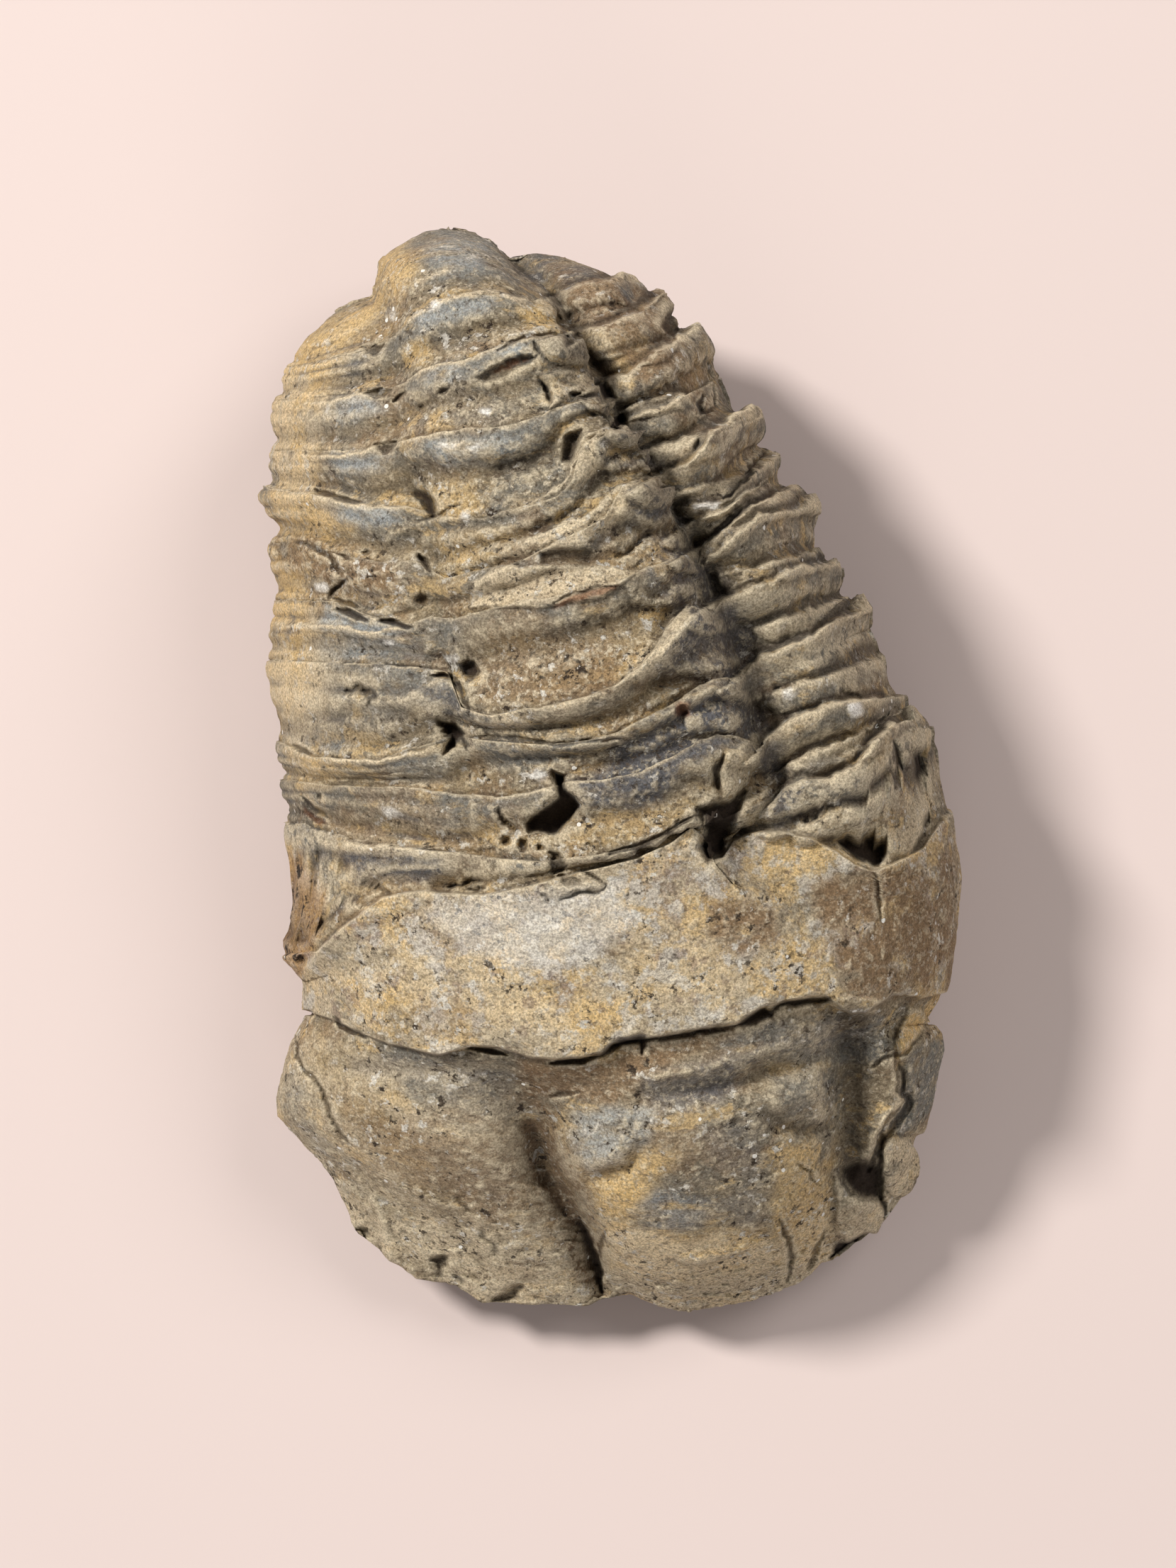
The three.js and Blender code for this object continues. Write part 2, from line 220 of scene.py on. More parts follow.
def smooth_through(values, at):
    """Monotone cubic interpolation along the first axis, whose rows stand at 0, 1, 2 and so on."""
    steps = np.diff(values, axis=0)
    before, after = steps[:-1], steps[1:]
    same_way = before * after > 0
    total = np.where(same_way, before + after, 1)
    slopes = np.zeros_like(values)
    slopes[1:-1] = np.where(same_way, 2 * before * after / total, 0)
    slopes[0], slopes[-1] = steps[0], steps[-1]
    k = np.clip(np.floor(at).astype(int), 0, len(values) - 2)
    t = (at - k).reshape(-1, *[1] * (values.ndim - 1))
    start, end, rise, fall = values[k], values[k + 1], slopes[k], slopes[k + 1]
    return (start * (1 + 2 * t) + rise * t) * (1 - t) ** 2 + (end * (3 - 2 * t) - fall * (1 - t)) * t**2


def row_places():
    """Lines, with parts between them, at which the rows of the mesh stand."""
    rows = [np.array([0.0])]
    crests = [np.mean(line[4], axis=0) for line in LINES]
    for k in range(LAST_LINE):
        apart = np.hypot(*(crests[k + 1] - crests[k]))
        count = STEEP_ROWS.get(k) or max(FEWEST_ROWS, round(apart / PX_PER_ROW))
        t = np.arange(1, count + 1) / count
        crowding = ROW_CROWDING if k >= LEDGE else 0
        rows.append(k + t - crowding * np.sin(2 * math.pi * t) / (2 * math.pi))
    return np.concatenate(rows)


def belly_fill(lines):
    """How much of its depth the belly has at these lines: less and less toward the head and the tail."""
    along = 2 * lines / LAST_LINE - 1
    power = np.where(along < 0, BELLY_FRONT_POWER, BELLY_TAIL_POWER)
    return np.sqrt(np.clip(1 - np.abs(along) ** power, 0, 1))


class SmoothBody:
    """The body without relief: a place in plan millimetres for any line and column."""

    def __init__(self, columns):
        self.columns = columns
        key = np.array([line_places(line, columns) for line in LINES])
        self.key = np.stack(plan_of(key[..., 0], key[..., 1]), axis=-1)
        self.heights = np.array([[line[1], line[2]] for line in LINES], float)

    def rows(self, at):
        """Plan places, crest x, crest height and side height of whole rows."""
        plan = smooth_through(self.key, at)
        crest, side = smooth_through(self.heights, at).T
        return self.with_outline(plan, at), crest, side

    def with_outline(self, plan, at):
        """Draws the two sides of the plan onto the outline of the sides."""
        for edge, outline, sign in ((0, LEFT_SIDE, -1), (-1, RIGHT_SIDE, 1)):
            u, v = pixel_of(plan[:, edge, 0], plan[:, edge, 1])
            points = np.array(outline, float)[::-1]
            wanted = np.interp(v, points[:, 1], points[:, 0])
            beside = smoothstep(0, END_BLEND, at) * smoothstep(0, END_BLEND, LAST_LINE - at)
            move = (wanted - u) * beside / PX_PER_MM
            weight = smoothstep(FURROW_COLUMN, 1, sign * self.columns)
            plan[:, :, 0] += move[:, None] * weight
        return plan


def section_round(x, crest_x, side_x):
    """The height of the section across the body, from 0 at the side to 1 on the crest."""
    reach = np.clip(np.abs((x - crest_x) / (side_x - crest_x)), 0, 1)
    return np.sqrt(1 - reach**SECTION_POWER)


def body_grid(body, at, fill=None):
    """Places of whole rows. With fill, of the belly."""
    plan, crest, side = body.rows(at)
    middle = plan[:, np.argmin(np.abs(body.columns)), 0][:, None]
    edge = np.where(body.columns < 0, plan[:, :1, 0], plan[:, -1:, 0])
    rounding = section_round(plan[..., 0], middle, edge)
    crest, side = crest[:, None], side[:, None]
    if fill is None:
        height = side + (crest - side) * rounding
    else:
        height = side - (side + BELLY_SINK) * rounding * fill[:, None]
    return np.dstack([plan, height])


def belly_points(body, rows, columns):
    """Loops of points inside the rim, shrinking onto a middle line, and each one's line and column."""
    count_rows, count_columns = len(rows), len(columns)
    ring_lines = np.concatenate([rows, np.full(count_columns - 2, rows[-1]), rows[::-1],
                                 np.full(count_columns - 2, rows[0])])
    ring_columns = np.concatenate([np.full(count_rows, -1.0), columns[1:-1], np.full(count_rows, 1.0),
                                   columns[1:-1][::-1]])
    inward = (np.arange(1, BELLY_LOOPS + 1) / BELLY_LOOPS) ** BELLY_CROWDING
    middle = LAST_LINE / 2
    lines = middle + (ring_lines - middle) * (1 - BELLY_SPINE * inward[:, None])
    places = ring_columns * (1 - inward[:, None])
    return lines, places


def sample_belly(body, lines, places):
    """Places of scattered belly points, by looking them up in a finely sampled belly."""
    fine_rows = np.linspace(0, LAST_LINE, BELLY_SAMPLES)
    grid = body_grid(body, fine_rows, belly_fill(fine_rows))
    at_row = lines / LAST_LINE * (len(fine_rows) - 1)
    at_column = np.interp(places, body.columns, np.arange(len(body.columns)))
    i = np.clip(at_row.astype(int), 0, len(fine_rows) - 2)
    j = np.clip(at_column.astype(int), 0, len(body.columns) - 2)
    s, t = (at_row - i)[..., None], (at_column - j)[..., None]
    near = grid[i, j] * (1 - t) + grid[i, j + 1] * t
    far = grid[i + 1, j] * (1 - t) + grid[i + 1, j + 1] * t
    return near * (1 - s) + far * s


def quads(a, b, c, d):
    """Faces whose corners are taken from four grids of point numbers."""
    return np.stack([np.ravel(k) for k in (a, b, c, d)], axis=-1)


def build_skin():
    """Points, quads and per-point facts of the closed skin. The belly's loops share the back's rim."""
    columns = column_places()
    rows = row_places()
    body = SmoothBody(columns)
    back = body_grid(body, rows)
    shape = back.shape[:2]
    index = np.arange(shape[0] * shape[1]).reshape(shape)
    rim = np.concatenate([index[:, 0], index[-1, 1:-1], index[::-1, -1], index[0, -2:0:-1]])
    lines, places = belly_points(body, rows, columns)
    below = sample_belly(body, lines, places)
    first = index.size
    loops = np.vstack([rim, first + np.arange(lines.size).reshape(lines.shape)])
    count_rows = shape[0]
    # The last loop has no width: its two long sides are the same points, and so is each end.
    last = loops[-1].copy()
    far_side = slice(count_rows + shape[1] - 2, 2 * count_rows + shape[1] - 2)
    last[far_side] = last[:count_rows][::-1]
    last[count_rows : count_rows + shape[1] - 2] = last[count_rows - 1]
    last[2 * count_rows + shape[1] - 2 :] = last[0]
    loops[-1] = last
    after = np.roll(loops, -1, axis=1)
    faces = [quads(index[:-1, :-1], index[:-1, 1:], index[1:, 1:], index[1:, :-1]),
             quads(loops[:-1], after[:-1], after[1:], loops[1:])]
    points = np.vstack([back.reshape(-1, 3), below.reshape(-1, 3)])
    facts = {
        "line": np.concatenate([np.repeat(rows, shape[1]), lines.ravel()]),
        "column": np.concatenate([np.tile(columns, shape[0]), places.ravel()]),
        "under": np.concatenate([np.zeros(first), np.ones(lines.size)]),
    }
    return points, np.vstack(faces), facts, shape


def point_normals(points, faces):
    """Directions out of the skin, averaged over the faces round each point."""
    a, b, c, d = (points[faces[:, k]] for k in range(4))
    face_normals = np.cross(c - a, d - b)
    sums = np.stack([np.bincount(faces.ravel(), np.repeat(face_normals[:, k], 4), len(points))
                     for k in range(3)], axis=-1)
    return sums / np.maximum(np.linalg.norm(sums, axis=1, keepdims=True), 1e-12)


# ---------------------------------------------------------------- noise
GRAIN_TILT = 1.6
NOISE_ORIGIN = 1000  # far enough from the stone that the number of every cell is over 0
# What each noise shapes: the size of its lumps in millimetres, its seed, its layers.
NOISES = {
    "wobble u": (1.1, 11, 2),
    "wobble v": (1.1, 12, 2),
    "plate edges": (1.6, 21, 3),
    "slab edges": (1.6, 22, 3),
    "furrow edges": (3, 23, 2),
    "band ends": (4, 25, 2),
    "patches": (3.5, 28, 3),
    "lumps": (7, 31, 2),
    "bumps": (2.4, 34, 3),
    "folds": (7, 61, 2),
    "fold heights": (9, 64, 2),
    "slate": (5, 67, 2),
    "pores": (1.7, 71, 2),
    "porous ground": (2.6, 74, 2),
}
# Chipped grains of the stone: size and height in millimetres, seed.
GRAINS = [(1.5, 0.17, 41), (0.75, 0.19, 51)]


def scramble(cells, seed):
    """A number from 0 to 1 for each whole-number cell."""
    x, y, z = (cells[..., k].astype(np.uint32) for k in range(3))
    h = x * np.uint32(374761393) + y * np.uint32(668265263) + z * np.uint32(2147483647)
    h = h + np.uint32(seed * 974711 + 12345)
    for shift, factor in ((15, 2246822519), (13, 3266489917)):
        h = (h ^ (h >> np.uint32(shift))) * np.uint32(factor)
    return ((h ^ (h >> np.uint32(16))) & np.uint32(0xFFFFFF)).astype(float) / 0xFFFFFF


def waves(points, size, seed):
    """Smooth noise from -1 to 1 whose lumps are about this many millimetres apart."""
    place = points / size + NOISE_ORIGIN
    corner = np.floor(place).astype(np.int64)
    t = place - corner
    t = t * t * t * (t * (6 * t - 15) + 10)
    total = 0
    for step in itertools.product((0, 1), repeat=3):
        total = total + np.prod(np.where(step, t, 1 - t), axis=-1) * scramble(corner + step, seed)
    return 2 * total - 1


def facets(points, size, seed):
    """The height of chipped stone, where each grain is a tilted flat."""
    place = points / size + NOISE_ORIGIN
    home = np.floor(place).astype(np.int64)
    nearest = np.full(len(points), np.inf)
    height = np.zeros(len(points))
    for step in itertools.product((-1, 0, 1), repeat=3):
        cell = home + step
        shares = [scramble(cell, seed + k) for k in range(7)]
        away = place - cell - np.stack(shares[:3], axis=-1)
        far = np.einsum("ij,ij->i", away, away)
        tilt = np.stack(shares[3:6], axis=-1) - 0.5
        flat = shares[6] - 0.5 + GRAIN_TILT * np.einsum("ij,ij->i", away, tilt)
        height = np.where(far < nearest, flat, height)
        nearest = np.minimum(nearest, far)
    return height


# ---------------------------------------------------------------- relief
EDGE_WOBBLE_PX = 4  # how ragged the listed outlines become
PLATE_RAGGEDNESS = 0.04  # in lines, of which one is a whole plate
BAND_RAGGEDNESS = 0.08  # in shares of a plate
SLAB_RAGGEDNESS = 0.03
FURROW_RAGGEDNESS = 0.03  # in columns
LINE_END = 0.35  # how much of a stroke is left at its two ends
WRAP_START = 0.72  # on the belly, relief fades away from the rim toward this column
WRAP_END = 0.95  # and plates and folds are whole from this column out
UNDER_LOSS = 0.75  # how much weaker the plates are on the belly
SOFT_REACH = 2.2  # how far a soft stroke is felt, in its own widths
VALLEY_SHADE = 0.45
BLADE_RIM = 0.3  # the share of a blade's reach over which its edge is rubbed pale
BLADE_FOOT = (0.35, 7)  # the painted shade at its foot: strength, width in pixels
RIB_RISE = (-5, 3)  # pixels before and behind a rib's line over which it rises
RIB_EDGE = (3, 7)  # the pale edge, partly rubbed crust and partly painted highlight: pixels behind the line, width in pixels
RIB_FOOT = (8, 5)  # the painted shadow at its foot: pixels before the line, width in pixels
PIT_DEPTH = 1.6  # a pit this deep is fully darkened as painted shade
RIB_BOOST = 2.3
AXIS_RISE = 3.0
LOBE_POWER = {"left": 1.0, "right": 0.55}  # the lower, the steeper the middle lobe falls to that furrow
FURROW_DEPTH = {"left": 0.3, "right": 1.5}
FURROW_WIDTH = 0.05
FURROW_SOFTNESS = 0.06  # how gently the rings of the middle lobe pass into the ribs
HEAD_FURROW_WIDTH = 0.06
FLANK_BULGE = {"left": 0, "right": 1.8}  # over the flank's middle
FLANK_MIDDLE = (0.66, 0.14)  # its column and its width
# From ring 1 to the tail end: how high each rear edge stands over the next plate, how far ahead of the edge
# the smooth band reaches, as a share of the way to the next edge, and how much of the step is a soft slope.
RING_STEPS = np.array([0.7, 0.8, 1.1, 1.2, 0.6, 0.7, 0.8, 1.25, 1.0, 0.7, 0.2, 0])
RING_BANDS = np.array([0.8, 0.55, 0.45, 0.6, 0.5, 0.75, 0.6, 0.52, 0.7, 0.75, 0.9, 0.9])
RING_SLOPES = np.array([0.3, 0.3, 0.3, 0.4, 0.5, 0.5, 0.5, 0.7, 0.75, 0.85, 0.95, 1])
# The same steps of the ribs beside the rings, and their band.
RIB_STEPS = np.array([0.7, 0.7, 0.8, 0.7, 0.7, 0.6, 0.8, 0.75, 0.7, 0.6, 0.3, 0])
RIB_BAND = 0.85
BAND_POWER = 1.6  # over 1, a band stays high behind its front end
SLOPE_REACH = 0.2
BAND_FOOT = (0.35, 0.85, 0.12)  # a soft groove: depth, place as a share of the band, width
RIGHT_SHARE = 0.25  # the right side's ribs are drawn one by one, so little is left of the even ones
# The left ribs are folded lengthwise. Under 1, the power makes round crests and narrow troughs.
FOLDS = {"per plate": 3.6, "height": 0.42, "raggedness": 0.28, "power": 0.7, "middle": 0.6}
EDGE_WIDTH = 0.05  # of the pale rear edge, in lines
CREASE = (0.12, 0.03, 0.04)  # depth, place behind the plate's rear edge, width
SLAB_RISE = 1.5
HEAD_FURROWS = {"left": 1.1, "right": 1.4}
HEAD_FURROW_START = (0, 1.2)  # the lines between which they set in
HEAD_FURROW_END = (2.9, 3.5)
MOUND_POWER = 1.2
# Mounds in plan millimetres: middle, radii, rise.
MOUNDS = {
    "glabella": ((5.5, -30.5), (11, 9.5), 3),
    "cheek": ((-14, -27.5), (8.5, 6.5), 1),
}


class Relief:
    """Rise over the smooth body in millimetres, and the masks that the material reads."""

    MASKS = ("dirt", "cream", "grey", "blue", "slate", "ochre", "brown", "rust", "crystal",
             "grain", "worn", "porous", "fresh")

    def __init__(self, points, facts):
        self.points = points
        self.line, self.column, self.under = facts["line"], facts["column"], facts["under"]
        self.out = np.abs(self.column)
        self.u, self.v = pixel_of(points[:, 0], points[:, 1])
        self.u_ragged = self.u + EDGE_WOBBLE_PX * self.noise("wobble u")
        self.v_ragged = self.v + EDGE_WOBBLE_PX * self.noise("wobble v")
        self.above = (self.under == 0).astype(float)
        self.wrap = np.where(self.under == 0, 1, smoothstep(WRAP_START, 1, self.out))
        self.rise = np.zeros(len(points))  # along the way out of the stone
        self.lift = np.zeros(len(points))  # straight up
        self.mask = {name: np.zeros(len(points)) for name in self.MASKS}

    def noise(self, name):
        """The named noise, from -1 to 1, of which each layer is half as large and half as strong."""
        size, seed, layers = NOISES[name]
        total = sum(waves(self.points, size / 2**k, seed + k) / 2**k for k in range(layers))
        return total / (2 - 0.5 ** (layers - 1))

    def near(self, points, reach):
        """The points of the back and sides that lie within reach of these pixels' box."""
        low, high = np.min(points, axis=0) - reach, np.max(points, axis=0) + reach
        inside = (self.u_ragged > low[0]) & (self.u_ragged < high[0]) & (self.wrap > 0)
        return np.flatnonzero(inside & (self.v_ragged > low[1]) & (self.v_ragged < high[1]))

    def tint(self, name, amount, where=slice(None)):
        """Raises a mask to this amount, where it is lower."""
        self.mask[name][where] = np.maximum(self.mask[name][where], amount)


def line_distance(u, v, points):
    """Pixels to a line, 1 on its right hand (below a line that runs rightward) or -1, share of its length."""
    nearest = np.full(len(u), np.inf)
    side = np.ones(len(u))
    along = np.zeros(len(u))
    lengths = [math.dist(a, b) for a, b in zip(points[:-1], points[1:])]
    for k, ((u0, v0), (u1, v1)) in enumerate(zip(points[:-1], points[1:])):
        du, dv = u1 - u0, v1 - v0
        t = np.clip(((u - u0) * du + (v - v0) * dv) / (du * du + dv * dv), 0, 1)
        off_u, off_v = u - u0 - t * du, v - v0 - t * dv
        far = np.hypot(off_u, off_v)
        closer = far < nearest
        nearest = np.where(closer, far, nearest)
        side = np.where(closer, np.where(du * off_v - dv * off_u > 0, 1, -1), side)
        along = np.where(closer, (sum(lengths[:k]) + t * lengths[k]) / sum(lengths), along)
    return nearest, side, along


def depth_inside(u, v, points):
    """Pixels from a polygon's edge, positive inside it."""
    closed = [*points, points[0]]
    far = line_distance(u, v, closed)[0]
    inside = np.zeros(len(u), bool)
    for (u0, v0), (u1, v1) in zip(closed[:-1], closed[1:]):
        if v0 != v1:
            crosses = ((v0 > v) != (v1 > v)) & (u < (u1 - u0) * (v - v0) / (v1 - v0) + u0)
            inside ^= crosses
    return np.where(inside, far, -far)


def narrowing(along):
    """1 at the middle of a line, less toward its ends."""
    return LINE_END + (1 - LINE_END) * np.sqrt(np.sin(math.pi * np.clip(along, 0.02, 0.98)))


def beside(r, points, reach):
    """Which points lie near a line, their pixels to it, their side of it and their share of its length."""
    near = r.near(points, reach)
    return near, *line_distance(r.u_ragged[near], r.v_ragged[near], points)


def within(r, points, soft):
    """Which points lie near an outline, and how far they are inside it, from 0 to 1 over its soft edge."""
    near = r.near(points, soft)
    inside = depth_inside(r.u_ragged[near], r.v_ragged[near], points)
    return near, smoothstep(-soft / 2, soft / 2, inside)


def slot(r, width, depth, points):
    """A crack: it runs out at both ends and is darkened at the bottom as painted shade."""
    near, far, _, along = beside(r, points, width)
    taper = narrowing(along)
    share = np.clip(1 - (far / (width * taper)) ** 2, 0, 1)
    r.rise[near] -= depth * share * taper
    r.tint("dirt", share * min(1, 0.3 + depth / 2), near)


def valley(r, width, depth, points):
    """A soft furrow, darkened along its bottom as painted shade."""
    near, far, _, along = beside(r, points, SOFT_REACH * width)
    share = bell(far, 0, width) * narrowing(along)
    r.rise[near] -= depth * share
    r.tint("dirt", VALLEY_SHADE * share * min(1, depth), near)


def fold(r, width, height, points):
    """A soft ridge, or with a negative height a soft furrow. It is not dirtied."""
    near, far, _, along = beside(r, points, SOFT_REACH * width)
    r.rise[near] += height * bell(far, 0, width) * narrowing(along)


def blade(r, reach, height, points):
    """A broken shell edge: it stands up at the line and slopes away on the line's right hand."""
    near, far, side, along = beside(r, points, reach)
    slope = smoothstep(-2, 2, far * side) * (1 - smoothstep(0, reach, far)) * narrowing(along)
    r.rise[near] += height * slope
    rim = BLADE_RIM * reach
    dirt, width = BLADE_FOOT
    r.tint("cream", np.where(side > 0, 1 - smoothstep(0.5 * rim, rim, far), 0), near)
    # The foot of the edge is darkened as painted shade.
    r.tint("dirt", np.where(side < 0, dirt * (1 - smoothstep(0, width, far)), 0), near)


def rib(r, reach, height, points):
    """A rib: a pale edge along the line, partly rubbed and partly painted highlight, a round back on the
    line's right hand, painted shadow at its foot.
    """
    near, far, side, _ = beside(r, points, reach)
    across = np.clip(far / reach, 0, 1)
    back = smoothstep(*RIB_RISE, far * side) * np.sqrt(1 - across**2)
    r.rise[near] += RIB_BOOST * height * back * (1 - 0.5 * smoothstep(0.88, 1, r.out[near]))
    r.tint("grey", np.where(side > 0, 0.6 * (1 - smoothstep(0.6, 0.9, across)), 0), near)
    edge = bell(far, *RIB_EDGE) * min(1, 0.6 + height / 2)
    rubbed_and_highlit = np.maximum(edge, 0.3 * (1 - smoothstep(0.2, 0.6, across)))
    r.tint("cream", np.where(side > 0, rubbed_and_highlit, 0), near)
    r.tint("dirt", np.where(side < 0, bell(far, *RIB_FOOT), 0) * min(0.8, 0.4 + 0.5 * height), near)


def raised(r, soft, height, points):
    """A piece with an outline that stands over its surroundings, or with a negative height a pit, darkened
    with its depth as painted shade.
    """
    near, share = within(r, points, soft)
    r.rise[near] += height * share
    if height < 0:
        r.tint("dirt", share * min(1, -height / PIT_DEPTH), near)


def dome(r, height, points):
    """A round lump, or with a negative height a round pit. The second pixel pair is its two radii."""
    centre, radii = points
    near = r.near([centre], max(radii))
    far = np.hypot((r.u[near] - centre[0]) / radii[0], (r.v[near] - centre[1]) / radii[1])
    r.rise[near] += height * np.sqrt(np.clip(1 - far**2, 0, 1))


STROKES = {stroke.__name__: stroke for stroke in (slot, valley, fold, blade, rib, raised, dome)}


def draw(r, rows):
    """Draws the rows of a table, in their order, as far as the relief goes round the sides."""
    rise, masks = r.rise.copy(), {name: values.copy() for name, values in r.mask.items()}
    for _, how, place in rows:
        kind, *numbers = how.split()
        numbers = list(map(float, numbers))
        if kind in STROKES:
            STROKES[kind](r, *numbers, path(place))
        else:
            near, share = within(r, path(place), numbers[1])
            r.tint(kind, numbers[0] * share, near)
    r.rise = rise + r.wrap * (r.rise - rise)
    for name, values in masks.items():
        r.mask[name] = values + r.wrap * (r.mask[name] - values)


def plate_relief(r):
    """Overlapping plates: a raised smooth band in front of each rear edge, then a rough lower interval."""
    ragged = r.line + PLATE_RAGGEDNESS * r.noise("plate edges")
    ring = np.clip(np.ceil(ragged), FIRST_RING, LAST_LINE).astype(int) - FIRST_RING
    before = np.maximum(ring - 1, 0)
    ahead = np.ceil(ragged) - ragged
    on_thorax = smoothstep(SLAB_TOP, SLAB_TOP + 0.05, ragged)
    out = r.out + FURROW_RAGGEDNESS * r.noise("furrow edges")
    on_axis = 1 - smoothstep(FURROW_COLUMN - FURROW_SOFTNESS, FURROW_COLUMN + FURROW_SOFTNESS, out)
    mixed = lambda axis, flank: flank + (axis - flank) * on_axis
    band_end = mixed(RING_BANDS[ring], RIB_BAND) + BAND_RAGGEDNESS * r.noise("band ends")
    shelf = 0.5 + 0.5 * np.cos(math.pi * np.clip(ahead / band_end, 0, 1) ** BAND_POWER)
    fade = on_thorax * (1 - UNDER_LOSS * r.under * (1 - smoothstep(WRAP_START, WRAP_END, r.out)))
    fade *= 1 - (1 - RIGHT_SHARE) * smoothstep(FURROW_COLUMN, FURROW_COLUMN + 0.05, r.column) * r.above
    steps = [mixed(RING_STEPS[k], RIB_STEPS[k]) for k in (ring, before)]
    slope = steps[1] * RING_SLOPES[before] * (ring > 0) * np.exp(-(((1 - ahead) / SLOPE_REACH) ** 2))
    crease_depth, crease_at, crease_width = CREASE
    crisp = 1 - RING_SLOPES[before]
    crease = bell(1 - ahead, crease_at, crease_width) * np.minimum(1, 2 * steps[1]) * crisp
    depth, at, width = BAND_FOOT
    foot = bell(ahead, band_end * at, width) * np.minimum(1, 1.5 * steps[0])
    r.rise += fade * (np.maximum(steps[0] * shelf, slope) - crease_depth * crease - depth * foot)
    patchy = smoothstep(-0.25, 0.35, r.noise("patches"))
    rubbed_and_highlit = 0.3 + 0.7 * patchy
    r.tint("grey", shelf * fade * rubbed_and_highlit)
    # The pale rear edge is partly broken shell and partly painted highlight on the step that faces the light.
    r.tint("cream", fade * bell(ahead, 0, EDGE_WIDTH) * np.minimum(1, 1.6 * steps[0]) * rubbed_and_highlit)
    # Creases and the groove at each band's foot are darkened as painted shade.
    r.tint("dirt", fade * np.maximum(crease * (0.2 + 0.6 * patchy), 0.35 * foot))
    r.tint("grain", on_thorax * (1 - 0.8 * shelf) * mixed(1, 0.3))
    r.tint("ochre", fade * 0.2 * (1 - shelf) * (1 - patchy))


def left_folds(r):
    """The long low folds along the left ribs."""
    ahead = np.ceil(r.line) - r.line
    turn = FOLDS["per plate"] * ahead + FOLDS["raggedness"] * r.noise("folds")
    on_left = smoothstep(FURROW_COLUMN + 0.02, FURROW_COLUMN + 0.15, -r.column)
    before_tail = 1 - smoothstep(LAST_RING - 1, LAST_RING, r.line)
    on_thorax = smoothstep(SLAB_TOP, SLAB_TOP + 0.2, r.line) * before_tail
    strength = on_left * on_thorax * (0.6 + 0.5 * r.noise("fold heights"))
    strength *= r.above + (1 - r.above) * smoothstep(WRAP_START, WRAP_END, r.out)
    crest = np.abs(np.sin(math.pi * turn)) ** FOLDS["power"]
    r.rise += FOLDS["height"] * strength * (crest - FOLDS["middle"])
    # The troughs are darkened, in patches with slate, as painted shade, and the crests are lightened as
    # painted highlight.
    r.tint("dirt", 0.35 * strength * (1 - smoothstep(0.15, 0.5, crest)))
    slate = smoothstep(-0.1, 0.3, r.noise("slate"))
    r.tint("slate", 0.8 * strength * (1 - smoothstep(0.3, 0.7, crest)) * slate)
    r.tint("cream", 0.5 * strength * smoothstep(0.8, 1, crest))


def lobe_relief(r):
    """The middle lobe, the furrows beside it and the swollen right flank."""
    tail_fade = np.sqrt(np.clip(1 - np.clip(r.line - LAST_RING, 0, 1) ** 2, 0, 1))
    on_thorax = smoothstep(LEDGE, FIRST_RING, r.line) * tail_fade * r.above
    side = lambda table: np.where(r.column < 0, table["left"], table["right"])
    inside = np.clip(1 - (r.out / FURROW_COLUMN) ** 2, 0, 1)
    lobe = AXIS_RISE * inside ** side(LOBE_POWER)
    furrow = side(FURROW_DEPTH) * bell(r.out, FURROW_COLUMN, FURROW_WIDTH)
    bulge = side(FLANK_BULGE) * bell(r.out, *FLANK_MIDDLE)
    r.lift += on_thorax * (lobe - furrow + bulge)
    # The furrows beside the lobe are darkened as painted shade.
    r.tint("dirt", 0.35 * on_thorax * furrow)
